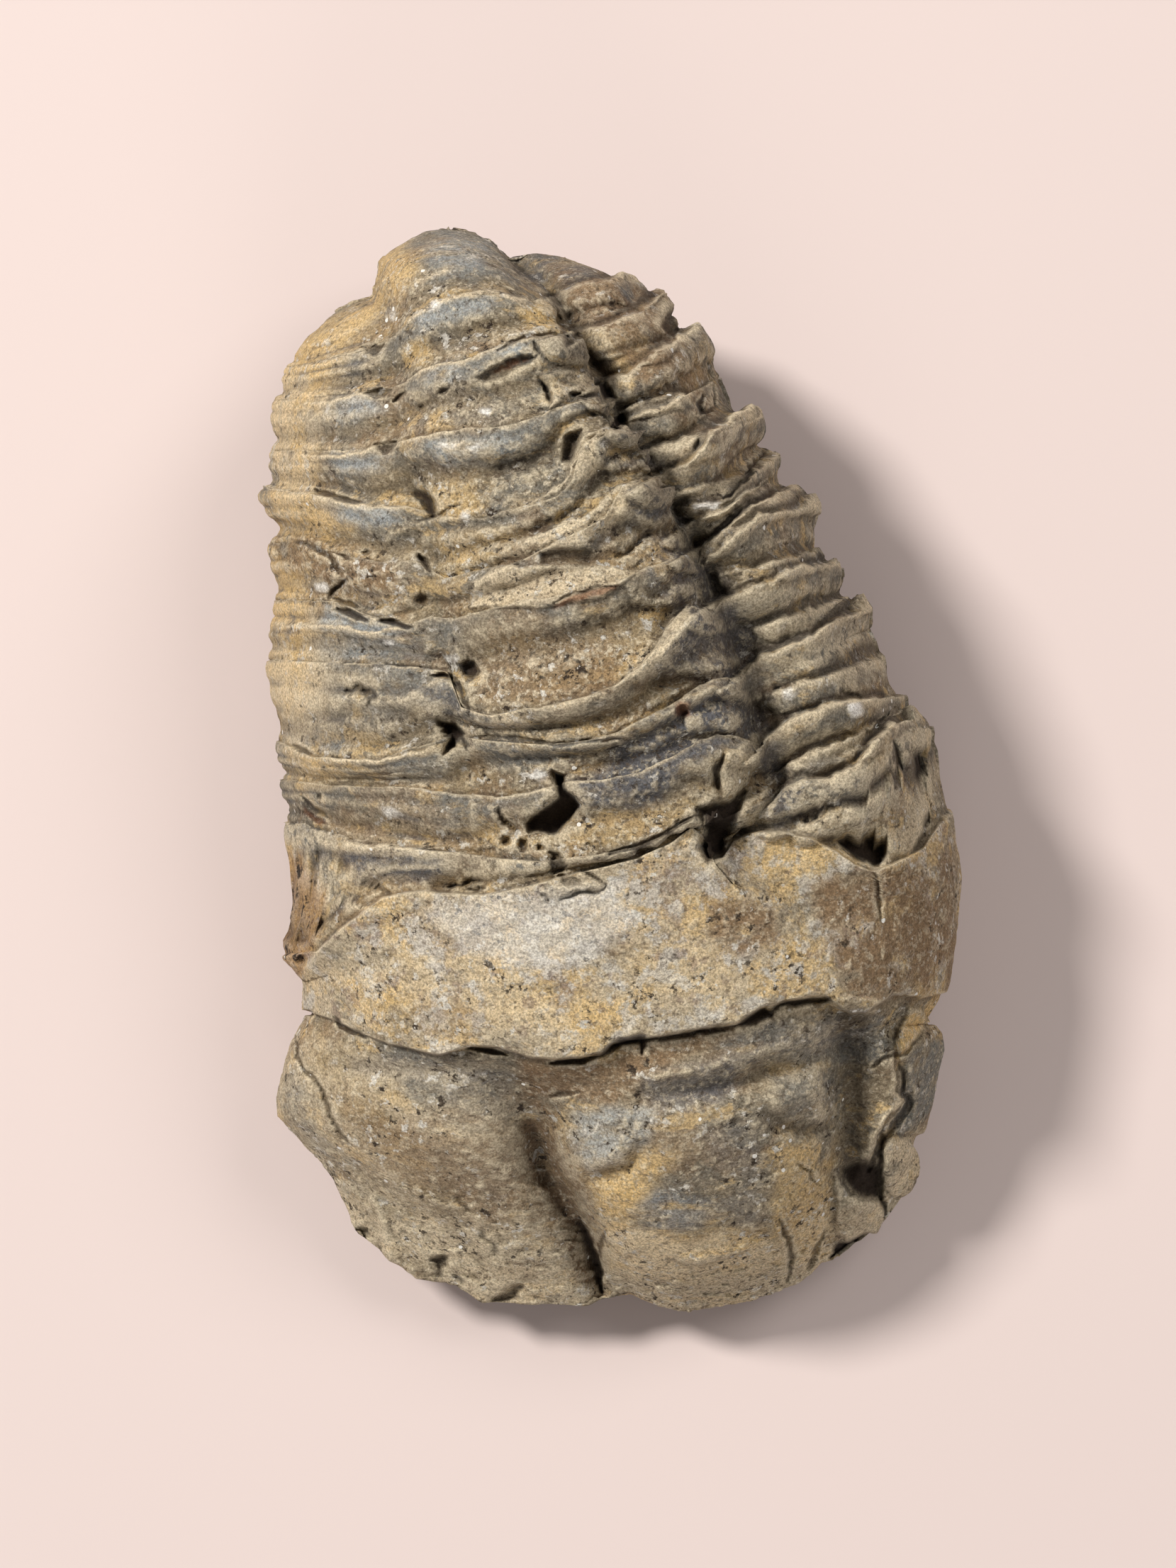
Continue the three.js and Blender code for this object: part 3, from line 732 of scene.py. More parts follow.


# What is drawn on each part of the back, in photo pixels. Each row: a name, then a stroke with its
# reach, width or soft edge in pixels and its height or depth in millimetres, or a mask with its strength and
# its soft edge, then the line or the outline. A dome has only a height, and then its middle and two radii.
# Painted shade here: dark band of ring 4 and dark stripe of ring 5 darken the shade under their bands, dark
# lobe of ring 7 is painted shade, and dark lobes is partly slate stone and partly the furrow's painted shade.
THORAX = rows_of("""
hole by the left rib of ring 10 | raised 6 -0.9 | 508,490 524,486 542,486 530,500 516,499
hole by the left rib of ring 9 | raised 6 -0.9 | 512,553 530,549 550,549 541,558 528,562
hole by the left rib of ring 8 | raised 6 -0.9 | 528,629 545,625 562,623 551,637 540,641
left edge of ring 10 | blade 16 0.35 | 424,517 470,503 500,495 520,487
left edge of ring 9 | blade 16 0.4 | 420,572 460,566 490,558 520,549
left edge of ring 8 | blade 16 0.4 | 430,642 470,644 500,640 530,629 560,621
first pit on ring 9 | slot 5 0.8 | 553,567 562,560 572,554
second pit on ring 9 | slot 5 0.8 | 621,556 628,553 633,545
third pit on ring 9 | slot 4 0.6 | 588,576 596,573
broken slot of ring 9 | raised 5 -0.9 | 670,535 690,520 715,507 735,501 754,505 745,513 725,520 705,533
  685,541
crack at the slot | slot 4 0.6 | 752,482 756,496 762,504
edge of ring 9 on the right | slot 4 0.5 | 700,494 722,482 745,474 775,470 800,477
right end of ring 10 | slot 5 0.9 | 776,434 787,447 793,463 798,476
crack of ring 11 | slot 5 0.7 | 713,409 724,415 734,423
left edge of ring 10 on the axis | blade 18 0.35 | 578,448 592,437 615,424 650,414 700,411 740,424
gap beside the tail dome | valley 13 0.9 | 724,364 742,382 764,402 776,416
hole at its end | raised 7 -1.1 | 766,416 784,411 800,430 786,434
hole right of ring 10 | raised 6 -1.2 | 794,474 814,471 812,486 800,490
gap of ring 9 on the right | valley 13 1 | 812,488 828,505 846,530 852,548
star flake | raised 6 0.9 | 766,530 790,522 828,524 846,552 806,556 792,566 776,577 782,556 763,541
gap left of the flake | slot 6 1.2 | 762,538 770,552 777,568
gap under the flake | slot 5 1 | 804,556 822,562 842,558
hole right of the flake | raised 6 -1.8 | 840,542 852,542 868,562 852,564
right end of ring 8 | dome 0.9 | 828,590 40,28
line on the end of ring 8 | slot 3 0.5 | 848,572 852,590 852,606
overhang of ring 8 | valley 15 0.9 | 688,674 720,658 760,645 804,636
deep end of that overhang | raised 10 -1.3 | 796,618 818,608 813,630 806,656 794,652
gap right of ring 8 | raised 7 -1.6 | 858,594 880,586 886,600 868,610
pit at the furrow of ring 7 | slot 11 1.4 | 584,697 598,702 607,714 609,730
crack of ring 7 | slot 4 0.5 | 590,738 615,730 632,718 648,712
pit at the furrow of ring 6 | slot 8 1.2 | 590,780 597,790 606,806
crack on the left rib of ring 7 | slot 5 0.9 | 443,692 462,697 478,703 495,709 507,712
left edge of ring 7 | blade 18 0.45 | 386,686 420,694 460,700 500,713 560,714
crease of ring 7 | valley 8 0.5 | 560,764 600,752 640,742 700,737 745,722 790,704 826,684
crease of ring 6 | valley 8 0.6 | 612,820 650,812 690,801 730,789 768,774
broken edge of ring 7 | blade 40 0.8 | 735,714 765,700 790,684 802,664 808,640 822,616 846,606 872,604
lobe of ring 7 | raised 14 0.6 | 836,622 866,608 896,614 930,640 936,662 900,668 846,664 838,645
gap under that lobe | valley 13 0.9 | 838,690 856,678 880,672 905,672
broken edge of ring 6 | blade 36 0.8 | 690,770 740,760 790,742 832,722 856,700 870,686 900,677
lobe of ring 6 | raised 16 0.6 | 880,690 905,682 940,700 950,730 930,748 890,744 872,726
gap under the lobe of ring 6 | valley 13 0.9 | 842,768 868,750 892,742 920,752
flakes of ring 6 | slot 5 1.1 | 868,788 886,776 902,764 914,756
slit over the crust | raised 9 -0.8 | 762,784 790,776 834,776 830,796 764,798
crust of ring 5 | raised 5 0.55 | 664,838 668,822 700,800 760,800 850,800 900,806 850,842 780,856 664,858
lobe of ring 5 | raised 14 0.8 | 870,822 920,796 962,784 1000,806 1010,840 960,856 900,856
gap over the lobe of ring 4 | valley 13 1.5 | 930,896 940,872 962,852 990,846 1010,838
rusty crack of ring 5 | slot 4 0.5 | 780,852 810,838 840,830 868,828
overhang of ring 5 | valley 18 0.7 | 655,938 700,926 760,907 820,894 870,886 930,868
broken edge of ring 4 | blade 40 0.9 | 780,995 830,982 872,962 905,936 928,908 942,880 960,864
lobe of ring 4 | raised 16 1 | 944,900 972,868 1020,872 1056,900 1050,940 1000,956 940,950 928,930
overhang of ring 4 | valley 10 0.9 | 884,970 920,962 960,962 990,954
pits at the furrow of ring 5 | raised 8 -1.5 | 648,938 666,933 676,950 664,962 654,952
crack at the furrow of ring 5 | slot 5 1 | 608,956 624,952 640,957
edge of ring 3 | valley 7 0.8 | 915,1008 945,994 972,976 1002,960
rusty pit of ring 3 | dome -0.8 | 961,1003 9,9
crease of ring 3 | slot 4 0.45 | 650,1042 700,1040 750,1046 800,1051 850,1046 884,1040
right end of ring 3 | raised 16 0.8 | 965,985 1005,962 1048,975 1060,1010 1030,1035 970,1030
overhang of ring 3 | valley 12 0.8 | 800,1090 850,1080 900,1072 950,1056 1000,1038 1040,1046
hole at the furrow of ring 3 | raised 8 -2 | 618,1020 642,1022 656,1034 640,1052 626,1062 634,1040
pit beside it | slot 6 1 | 650,1036 656,1056
bent pit | raised 6 -2.4 | 776,1090 794,1096 798,1115 822,1136 802,1158 783,1177 744,1176 741,1162
  766,1142 788,1127 783,1108
crack left of the bent pit | slot 5 0.8 | 702,1140 710,1156 726,1174
grey block | raised 5 0.4 | 660,1130 700,1138 712,1160 722,1176 700,1192 668,1200
first rubble pit | dome -1 | 712,1186 8,8
second rubble pit | dome -1.1 | 737,1192 8,12
third rubble pit | dome -0.8 | 760,1196 7,6
cream block | raised 9 0.6 | 1020,1122 1012,1092 1026,1064 1060,1040 1082,1034 1076,1062 1062,1090
  1040,1122 1030,1128
gap left of the cream block | slot 7 1 | 1020,1066 1010,1090 1016,1118
dark block of ring 1 | raised 5 -1 | 774,1202 790,1203 799,1222 792,1230 773,1228
hollow beside it | raised 6 -0.6 | 785,1234 815,1240 820,1252 796,1250
crack of ring 1 | slot 6 0.8 | 858,1206 900,1195 930,1182 960,1165 986,1152
crack over the slab | slot 5 0.9 | 788,1267 812,1262 835,1258 852,1253
small crack over the slab | slot 4 0.7 | 764,1260 776,1271
thin crack over the slab | slot 4 0.6 | 820,1228 848,1244 857,1254
hollow left of the slits | raised 6 -0.6 | 604,1246 644,1245 634,1262 612,1260
first slit | slot 5 1.1 | 630,1252 650,1249 665,1243 682,1241
second slit | slot 5 1.1 | 658,1252 672,1254 683,1250
deep gap | raised 15 -2.3 | 982,1144 1006,1134 1030,1128 1050,1118 1042,1150 1029,1183 1018,1206 996,1214
  987,1194 996,1172
arm of the deep gap | valley 15 1.5 | 1040,1132 1062,1110 1078,1084
foot of the deep gap | valley 12 1 | 1030,1180 1060,1168 1100,1164 1130,1160
brown recess of ring 5 | brown 0.7 24 | 660,935 760,920 860,900 880,930 860,985 760,996 680,990
grey recess of ring 5 | grey 0.6 24 | 690,925 780,912 850,930 800,990 700,990
grey of ring 9 | grey 0.7 24 | 560,540 640,520 760,520 770,560 700,600 600,610 560,590
grey of ring 7 | grey 0.7 24 | 680,690 780,650 800,640 790,690 740,720 680,740
pale margin | cream 0.6 30 | 380,540 430,520 470,560 450,640 440,700 400,720 380,640
pale lower margin | cream 0.6 30 | 385,900 450,900 470,960 450,1080 420,1090 390,1000
brown hole of ring 6 | brown 0.9 20 | 385,760 440,752 500,790 560,800 560,840 470,830 400,800
grain of that hole | grain 1 20 | 385,760 440,752 500,790 560,800 560,840 470,830 400,800
grey of the tail dome | grey 0.9 30 | 590,360 620,335 690,335 740,390 720,415 640,400 600,400
blue of the tail dome | blue 0.6 24 | 600,350 640,335 690,345 680,375 620,385
blue of ring 11 | blue 0.6 20 | 590,440 650,420 700,416 690,440 620,456 596,470
ochre left margin | ochre 0.9 50 | 380,500 440,470 520,430 540,440 470,520 450,620 440,700 500,740 440,830
  440,960 430,1040 500,1090 430,1110 390,1000 370,800
ochre of the tail | ochre 0.75 40 | 530,360 570,340 590,380 560,440 540,480 522,440
cream streaks of the tail dome | cream 0.8 8 | 560,410 585,392 625,376 640,378 606,394 580,414
ochre patch of ring 10 | ochre 0.8 20 | 570,490 600,478 610,500 600,520 575,515
ochre patch of ring 9 | ochre 0.8 20 | 600,585 630,575 640,600 600,612
ochre end of ring 10 | ochre 0.95 22 | 730,436 760,430 785,445 790,470 745,462
ochre of ring 7 | ochre 0.6 20 | 600,690 650,676 700,682 690,720 640,735 610,715
ochre of ring 6 | ochre 0.5 26 | 610,760 680,748 740,750 700,790 620,806
ochre recess of ring 5 | ochre 0.2 24 | 690,930 800,905 910,890 900,925 850,960 760,990 680,995
ochre of ring 2 | ochre 0.45 26 | 790,1180 840,1150 940,1110 975,1100 985,1140 940,1170 860,1195 790,1200
blue end of ring 9 | blue 0.7 14 | 700,500 720,482 740,484 740,498 712,508
blue patch of ring 9 | blue 0.8 20 | 600,530 640,512 650,520 620,555 600,550
blue band of ring 8 | blue 0.8 24 | 600,625 700,618 760,625 700,655 620,658
blue patch of ring 10 | blue 0.7 18 | 580,450 600,438 650,430 640,446 600,460
blue ribs on the left | blue 0.6 20 | 440,505 500,495 500,515 460,525
blue rib of ring 9 | blue 0.7 20 | 420,568 520,555 540,580 470,600
blue rib of ring 8 | blue 0.7 20 | 430,640 560,640 540,665 470,665
blue rib of ring 7 | blue 0.8 20 | 430,706 560,718 560,738 480,742
blue mineral of ring 5 | blue 0.9 14 | 430,860 460,850 520,876 580,886 540,900 480,892 430,890
blue rib of ring 4 | blue 0.6 20 | 440,900 580,905 600,925 440,935
blue rib of ring 3 | blue 0.7 20 | 410,1040 440,1035 500,1055 440,1062
dark end of ring 3 | grey 1 16 | 530,1070 620,1060 640,1100 560,1105
grey of ring 3 | grey 1 20 | 650,1044 890,1036 880,1080 690,1084
dark rings | slate 1 26 | 870,1046 910,1036 1000,970 1060,1000 1040,1050 960,1080 930,1140 820,1150
  800,1100 850,1088
dark lobes | slate 0.8 24 | 880,690 940,700 960,740 1010,800 1060,900 1060,950 980,960 920,950 950,880
  890,760
dark lobe of ring 7 | slate 0.7 16 | 836,622 896,612 936,660 850,668
dark ring 1 | slate 1 20 | 470,1195 600,1200 640,1225 600,1246 500,1236
dark facet | slate 0.7 10 | 550,990 620,958 655,1000 640,1014 560,1010
dark band of ring 4 | dirt 0.35 14 | 430,1004 500,996 580,990 590,1006 440,1014
dark stripe of ring 5 | dirt 0.45 20 | 680,915 780,890 900,850 930,860 860,892 760,915 690,930
crust of ring 5 | cream 0.8 8 | 662,838 668,822 700,800 860,800 900,806 850,842 780,856 664,858
cream edge of ring 7 | cream 0.9 6 | 735,714 790,684 806,640 822,614 860,604 840,625 842,664 820,690
  780,712 700,732
cream edge of ring 6 | cream 0.9 6 | 700,790 780,752 840,720 868,690 884,690 878,740 860,745 820,768
  760,780
cream edge of ring 4 | cream 0.9 6 | 850,978 905,926 935,890 960,866 978,868 948,908 915,945 880,972
star flake | cream 0.9 5 | 766,530 828,524 846,552 792,566 776,577 763,541
pale mineral of ring 8 | cream 0.9 6 | 614,626 640,622 690,626 686,640 630,640
cream block | cream 0.9 6 | 1020,1122 1012,1092 1060,1040 1082,1034 1062,1090 1030,1128
pale patch of ring 4 | cream 0.7 10 | 690,1010 740,1008 740,1036 690,1036
rust of the slot | rust 0.8 4 | 690,528 720,508 745,506 715,522
rust of ring 5 | rust 0.7 4 | 780,856 820,836 868,826 866,834 820,846 785,860
rust of ring 3 | rust 0.7 6 | 950,992 970,994 972,1012 952,1012
rust of ring 2 | rust 0.7 5 | 428,1140 445,1152 462,1160 450,1164 432,1150
grain of the matrix | grain 0.3 10 | 398,1190 430,1200 470,1280 440,1370 400,1420 390,1300
pores of the matrix | porous 1 12 | 398,1190 425,1200 462,1270 440,1350 405,1420 385,1300
rust of the matrix | rust 0.45 12 | 398,1190 425,1200 462,1270 440,1350 405,1420 385,1300
brown matrix at the left | ochre 1 12 | 400,1180 430,1200 470,1280 450,1330 440,1370 400,1350 395,1300
""")

LEFT_FLANK = rows_of("""
torn rib | slot 6 0.8 | 416,764 440,772 462,782 472,795 478,808
end of the tear | slot 5 0.8 | 479,782 494,789
small crack past the tear | slot 4 0.7 | 510,782 522,779
branch of the tear | slot 5 0.9 | 488,817 480,824 470,831 464,842
nodule by the tear | raised 8 0.5 | 440,824 456,806 478,806 470,828 450,840
hollow of the torn rib | raised 10 -0.5 | 388,772 404,760 430,772 418,786 396,790
crack over ring 5 | slot 5 0.9 | 470,842 488,850 505,856
wide crack of ring 5 | slot 6 1.2 | 476,857 492,864 505,870 516,874
second crack of ring 5 | slot 6 1.2 | 536,876 553,878 566,882 580,885
flap | raised 5 0.55 | 518,864 560,850 590,840 606,841 596,853 560,864 530,869
tip of the flap | raised 5 -1.1 | 580,847 592,840 606,841 598,853 588,851
groove of ring 5 | fold 9 -0.4 | 440,928 480,925 530,922 590,914
ledge of ring 5 | blade 20 0.45 | 410,880 450,882 490,884 520,892 560,884
crack of ring 4 | slot 7 1.2 | 488,973 505,970 518,976 530,982
branch of that crack | slot 4 0.7 | 515,980 520,990 524,996
grey facet | raised 6 0.35 | 548,992 600,965 624,955 650,975 662,1004 640,1016 590,1014
edge right of the facet | slot 6 0.8 | 640,962 652,980 660,1004
groove of ring 4 | fold 9 -0.5 | 430,1010 470,1008 510,1003 560,1004
crack of ring 3 | slot 5 0.8 | 416,1052 428,1059 441,1065
cream ridge of ring 3 | fold 6 0.5 | 540,1064 570,1056 600,1050 626,1042
ledge of ring 3 | blade 22 0.4 | 440,1066 480,1070 530,1072 570,1064 610,1054
groove under ring 3 | slot 5 0.35 | 440,1100 480,1107 530,1108 590,1102
crack of ring 2 | slot 6 1 | 427,1127 440,1139 452,1146 463,1152
hollow by that crack | slot 6 0.6 | 428,1136 442,1152 460,1162
nick of ring 2 | slot 4 0.8 | 452,1119 450,1127
ledge of ring 1 | blade 20 0.45 | 420,1170 450,1182 480,1188 540,1192 600,1198
nick of ring 1 | slot 5 0.8 | 456,1188 449,1197 453,1208
hollow left of ring 1 | slot 7 0.9 | 430,1200 440,1212 449,1224
upper crack by the slab | slot 6 0.5 | 475,1216 487,1224 494,1231
lower crack by the slab | slot 7 0.5 | 500,1238 520,1246 538,1254 552,1261
edge of the last rib | blade 26 0.5 | 432,1235 452,1254 474,1268 506,1278 530,1280
first pore of the matrix | dome -1.4 | 425,1322 12,10
second pore of the matrix | dome -1.2 | 431,1351 10,9
third pore of the matrix | dome -1 | 452,1304 8,8
fourth pore of the matrix | dome -0.9 | 405,1318 8,6
hole at the slab's foot | dome -1 | 438,1428 8,5
crack under the slab | slot 5 0.9 | 470,1436 480,1448 500,1456 518,1464
""")

# Painted shade here: dark foot of the furrow and the row after it, the dark rows beside lobes 4 to 7, which
# are the lobes' cast shadows, and the dark row along the right furrow. The pale edges of the ribs are partly
# painted highlight.
RIGHT_FLANK = rows_of("""
right furrow | valley 34 1.1 | 770,400 800,460 840,550 870,600 930,660 960,740 1010,820 1050,900 1060,950
  1080,1010 1090,1090
rib 11 | rib 34 0.6 | 783,415 803,407 835,398 874,396 905,402
crust over rib 10 | blade 14 0.4 | 832,441 848,431 862,438 880,436 905,432
rib 10 | rib 48 0.8 | 802,471 825,466 850,461 868,452 880,446 900,440 928,424
notch beside rib 10 | raised 5 -1.2 | 938,446 945,444 952,456 960,462 950,478 940,472 935,462
interval 10 | rib 26 0.35 | 862,501 880,497 905,490 928,485
rib 9 | rib 46 0.9 | 851,540 870,530 893,521 905,512 918,503 930,494 945,486 957,474 975,468
interval 9 | rib 22 0.35 | 893,574 915,566 940,560 958,557
rib 8 | rib 42 0.8 | 886,594 905,583 925,577 940,575 950,567 964,559
gap between the tips | slot 5 1.1 | 988,560 985,572 990,583 1002,580
upper gap between the tips | slot 4 0.9 | 1000,508 1003,530 1004,552 1008,575
interval 8 | rib 38 0.55 | 925,632 950,622 975,616 1000,608
chip on interval 8 | slot 4 0.6 | 986,620 980,630 982,638
rib 7 | rib 46 0.9 | 920,675 945,662 975,650 988,633 998,615 1012,602 1028,592 1050,584
second edge of rib 7 | blade 12 0.35 | 1012,612 1030,602 1045,596 1054,590
interval 7 | rib 30 0.5 | 965,693 1000,684 1030,677 1042,672
upper blade of rib 6 | rib 20 0.6 | 975,716 1010,712 1030,700 1045,685 1060,670 1078,650 1090,636
crack over that blade | slot 5 1.1 | 1020,703 1040,690 1055,668 1066,650 1082,638
lower blade of rib 6 | rib 26 0.6 | 952,752 975,738 1000,727 1022,718 1040,706 1060,690
crack under that blade | slot 6 1.1 | 966,776 985,768 1002,757 1020,742 1040,726 1058,712 1076,702
  1096,694
crust of rib 5 | rib 32 0.6 | 968,780 985,770 1010,755 1030,740 1050,718 1075,708 1098,696 1122,696
rib 5 | rib 46 0.7 | 1020,768 1050,745 1072,728 1100,722 1128,714 1142,722
crack of rib 5 | slot 4 0.6 | 1072,724 1088,720 1096,720
interval 5 | rib 30 0.45 | 1036,806 1065,800 1090,793 1130,783
rib 4 | rib 44 0.85 | 1000,854 1020,842 1045,835 1062,827 1090,820 1106,806 1126,800 1158,796
chip of rib 4 | slot 4 0.7 | 1066,824 1078,822
interval 4 | rib 28 0.45 | 1088,877 1120,866 1150,858 1185,846
crack of rib 3 | slot 5 0.9 | 1144,893 1160,881 1180,870 1197,857
rib 3 | rib 50 0.9 | 1046,946 1070,926 1100,915 1130,905 1148,895 1165,882 1185,870 1208,855 1222,862
interval 3 | rib 36 0.4 | 1100,972 1130,962 1160,955 1190,945 1235,930
crystal of interval 3 | dome 0.5 | 1206,1003 14,11
crack over rib 2 | slot 4 0.7 | 1186,975 1200,982 1214,984
rib 2 | rib 44 0.8 | 1076,1048 1096,1025 1120,1010 1150,1000 1170,990 1200,990 1240,985
lower part of rib 2 | rib 38 0.6 | 1112,1078 1140,1061 1175,1050 1210,1035 1232,1022
crack over rib 1 | slot 6 1.2 | 1204,1073 1220,1053 1235,1032 1244,1012
rib 1 | rib 54 1 | 1086,1132 1110,1110 1130,1100 1165,1098 1190,1090 1210,1075 1225,1055 1240,1035
  1262,1024
foot of rib 1 | slot 6 1 | 1113,1158 1150,1141 1190,1132 1222,1126 1246,1100 1260,1062
last rib | rib 32 0.6 | 1138,1162 1170,1150 1200,1140 1230,1125 1248,1104
hole of the wing | raised 6 -2.4 | 1178,1188 1200,1182 1228,1183 1252,1196 1248,1212 1236,1222 1210,1212
gap in the wing | raised 6 -2 | 1290,1062 1304,1064 1308,1084 1300,1108 1286,1120 1290,1090
second gap in the wing | slot 6 1.2 | 1262,1046 1268,1075 1262,1102
block beside the wing | raised 8 0.8 | 1240,1162 1262,1140 1290,1124 1306,1140 1300,1180 1284,1204
  1258,1206 1246,1186
crack beside the block | slot 4 0.9 | 1318,1130 1310,1150 1300,1176 1292,1198
slate shoulder | slate 0.8 20 | 762,362 830,372 880,404 900,440 860,470 820,440 790,400
dark foot of the furrow | slate 0.9 16 | 1040,1000 1075,1000 1092,1040 1104,1080 1128,1112 1130,1150
  1100,1166 1072,1150 1085,1110 1075,1085 1050,1060 1034,1030
dirt of that foot | dirt 0.4 16 | 1044,1010 1075,1004 1090,1040 1100,1080 1110,1130 1090,1160 1080,1110
  1060,1064
dark beside lobe 4 | slate 0.9 16 | 1016,890 1050,880 1068,900 1066,940 1050,968 1016,962 1008,930
dark beside lobe 5 | dirt 0.4 16 | 985,800 1020,790 1045,810 1040,842 1010,850 983,832
dark beside lobe 7 | dirt 0.4 16 | 890,622 925,640 945,670 930,686 895,668
dark beside lobe 6 | dirt 0.4 16 | 930,690 955,690 974,720 964,757 940,748 928,720
grey of the right tail | slate 0.7 16 | 724,366 757,356 796,358 806,384 770,402 742,392
brown of the right furrow | dirt 0.42 30 | 776,410 800,404 850,500 900,600 960,690 990,760 1040,860
  1090,960 1110,1060 1100,1110 1060,1100 1040,960 1000,860 940,770 900,680 850,610 810,500
ochre of rib 11 | ochre 0.5 16 | 790,414 840,400 860,404 836,430 800,430
ochre of rib 10 | ochre 0.7 16 | 812,470 870,456 900,460 880,494 830,494
ochre of interval 10 | ochre 0.8 12 | 862,500 920,488 900,520 862,530
ochre of rib 9 | ochre 0.7 10 | 868,538 898,532 894,552 872,552
ochre of interval 9 | ochre 0.9 10 | 893,574 955,558 950,568 900,582
cream of interval 8 | cream 0.7 10 | 930,632 985,616 980,640 940,654
cream of interval 7 | cream 0.6 10 | 966,694 1036,676 1020,700 972,704
brown shoulder | brown 0.9 26 | 770,370 860,384 930,430 1000,540 1020,620 960,600 900,540 850,470 790,420
ochre tips | ochre 0.7 16 | 952,556 980,500 992,520 988,552 962,568
crust of rib 5 | cream 0.8 10 | 975,782 1030,742 1056,718 1112,698 1114,712 1070,726 1040,752 1000,790
ochre of rib 5 | ochre 0.6 10 | 988,776 1012,766 1018,788 996,794
cream of interval 5 | cream 0.7 10 | 1038,808 1110,798 1096,816 1044,828
crust of interval 4 | cream 0.5 12 | 1066,884 1130,870 1150,884 1080,906
cream edge of rib 2 | cream 0.9 8 | 1078,1046 1100,1024 1150,1002 1170,1002 1140,1028 1100,1044
ochre of rib 2 | ochre 0.6 8 | 1100,1030 1150,1008 1150,1024 1112,1040
crystal | crystal 1 5 | 1196,996 1212,992 1216,1008 1202,1014
white chip | crystal 0.8 5 | 976,712 1012,708 1012,716 980,720
second white chip | crystal 0.8 5 | 1104,974 1116,970 1120,980 1108,986
pale wing | cream 0.7 10 | 1310,1076 1330,1080 1320,1120 1290,1200 1250,1214 1240,1160 1290,1122
slate foot of rib 1 | slate 0.6 10 | 1120,1150 1190,1110 1240,1080 1250,1100 1200,1140
""")

SLAB = rows_of("""
edge of the wing | slot 4 0.5 | 1232,1222 1238,1262 1242,1300
crusted top of the slab | fold 12 0.35 | 470,1330 520,1296 560,1276 600,1272
left dark joint | slot 5 0.9 | 660,1480 675,1479 690,1482 712,1487
middle dark joint | slot 6 1 | 775,1500 800,1498 830,1492 850,1488
notch of the ledge | slot 8 1.3 | 848,1488 862,1476 876,1468 904,1466 903,1486
long joint | slot 5 0.9 | 904,1468 930,1467 960,1461 1000,1455 1040,1448
wide joint | slot 10 1.5 | 1046,1446 1064,1434 1078,1428 1086,1432
joint past the chip | slot 6 1 | 1086,1428 1100,1418 1130,1414 1160,1412 1176,1408
chip under the ledge | raised 8 0.7 | 1164,1408 1200,1404 1246,1412 1232,1430 1200,1434 1180,1422
tan streak | ochre 0.6 24 | 530,1320 640,1300 660,1350 600,1370 540,1360
ochre foot | ochre 0.7 30 | 430,1380 500,1400 620,1440 760,1460 900,1440 880,1400 700,1400 500,1360
tan patch | brown 0.5 24 | 580,1420 640,1405 680,1430 670,1465 600,1460
ochre middle | ochre 0.6 30 | 880,1340 960,1310 1020,1340 1040,1400 960,1410 890,1390
plum patch | brown 1 26 | 1000,1270 1090,1280 1100,1330 1040,1350 1000,1320
tan crest | ochre 0.8 20 | 1030,1186 1080,1176 1150,1186 1190,1210 1140,1246 1050,1240
brown streak | brown 1 24 | 1140,1250 1180,1230 1236,1300 1240,1400 1200,1410 1170,1340
brown of the right slab | brown 1 40 | 1200,1240 1340,1200 1350,1400 1240,1420 1180,1330
plum of the left slab | brown 0.6 24 | 600,1280 650,1270 700,1300 690,1340 640,1340 600,1310
slate crest | slate 0.6 20 | 880,1220 930,1200 980,1200 1000,1250 960,1290 900,1280
pale crust | crystal 0.35 30 | 600,1290 700,1262 860,1250 900,1300 840,1350 740,1370 660,1340
grey middle | grey 0.6 30 | 740,1300 800,1290 860,1320 840,1360 760,1350
crust | grain 1 16 | 540,1276 660,1262 840,1244 850,1290 760,1320 640,1330 560,1330
rust of the right edge | ochre 1 12 | 1316,1330 1350,1320 1350,1420 1310,1440 1290,1420
""")
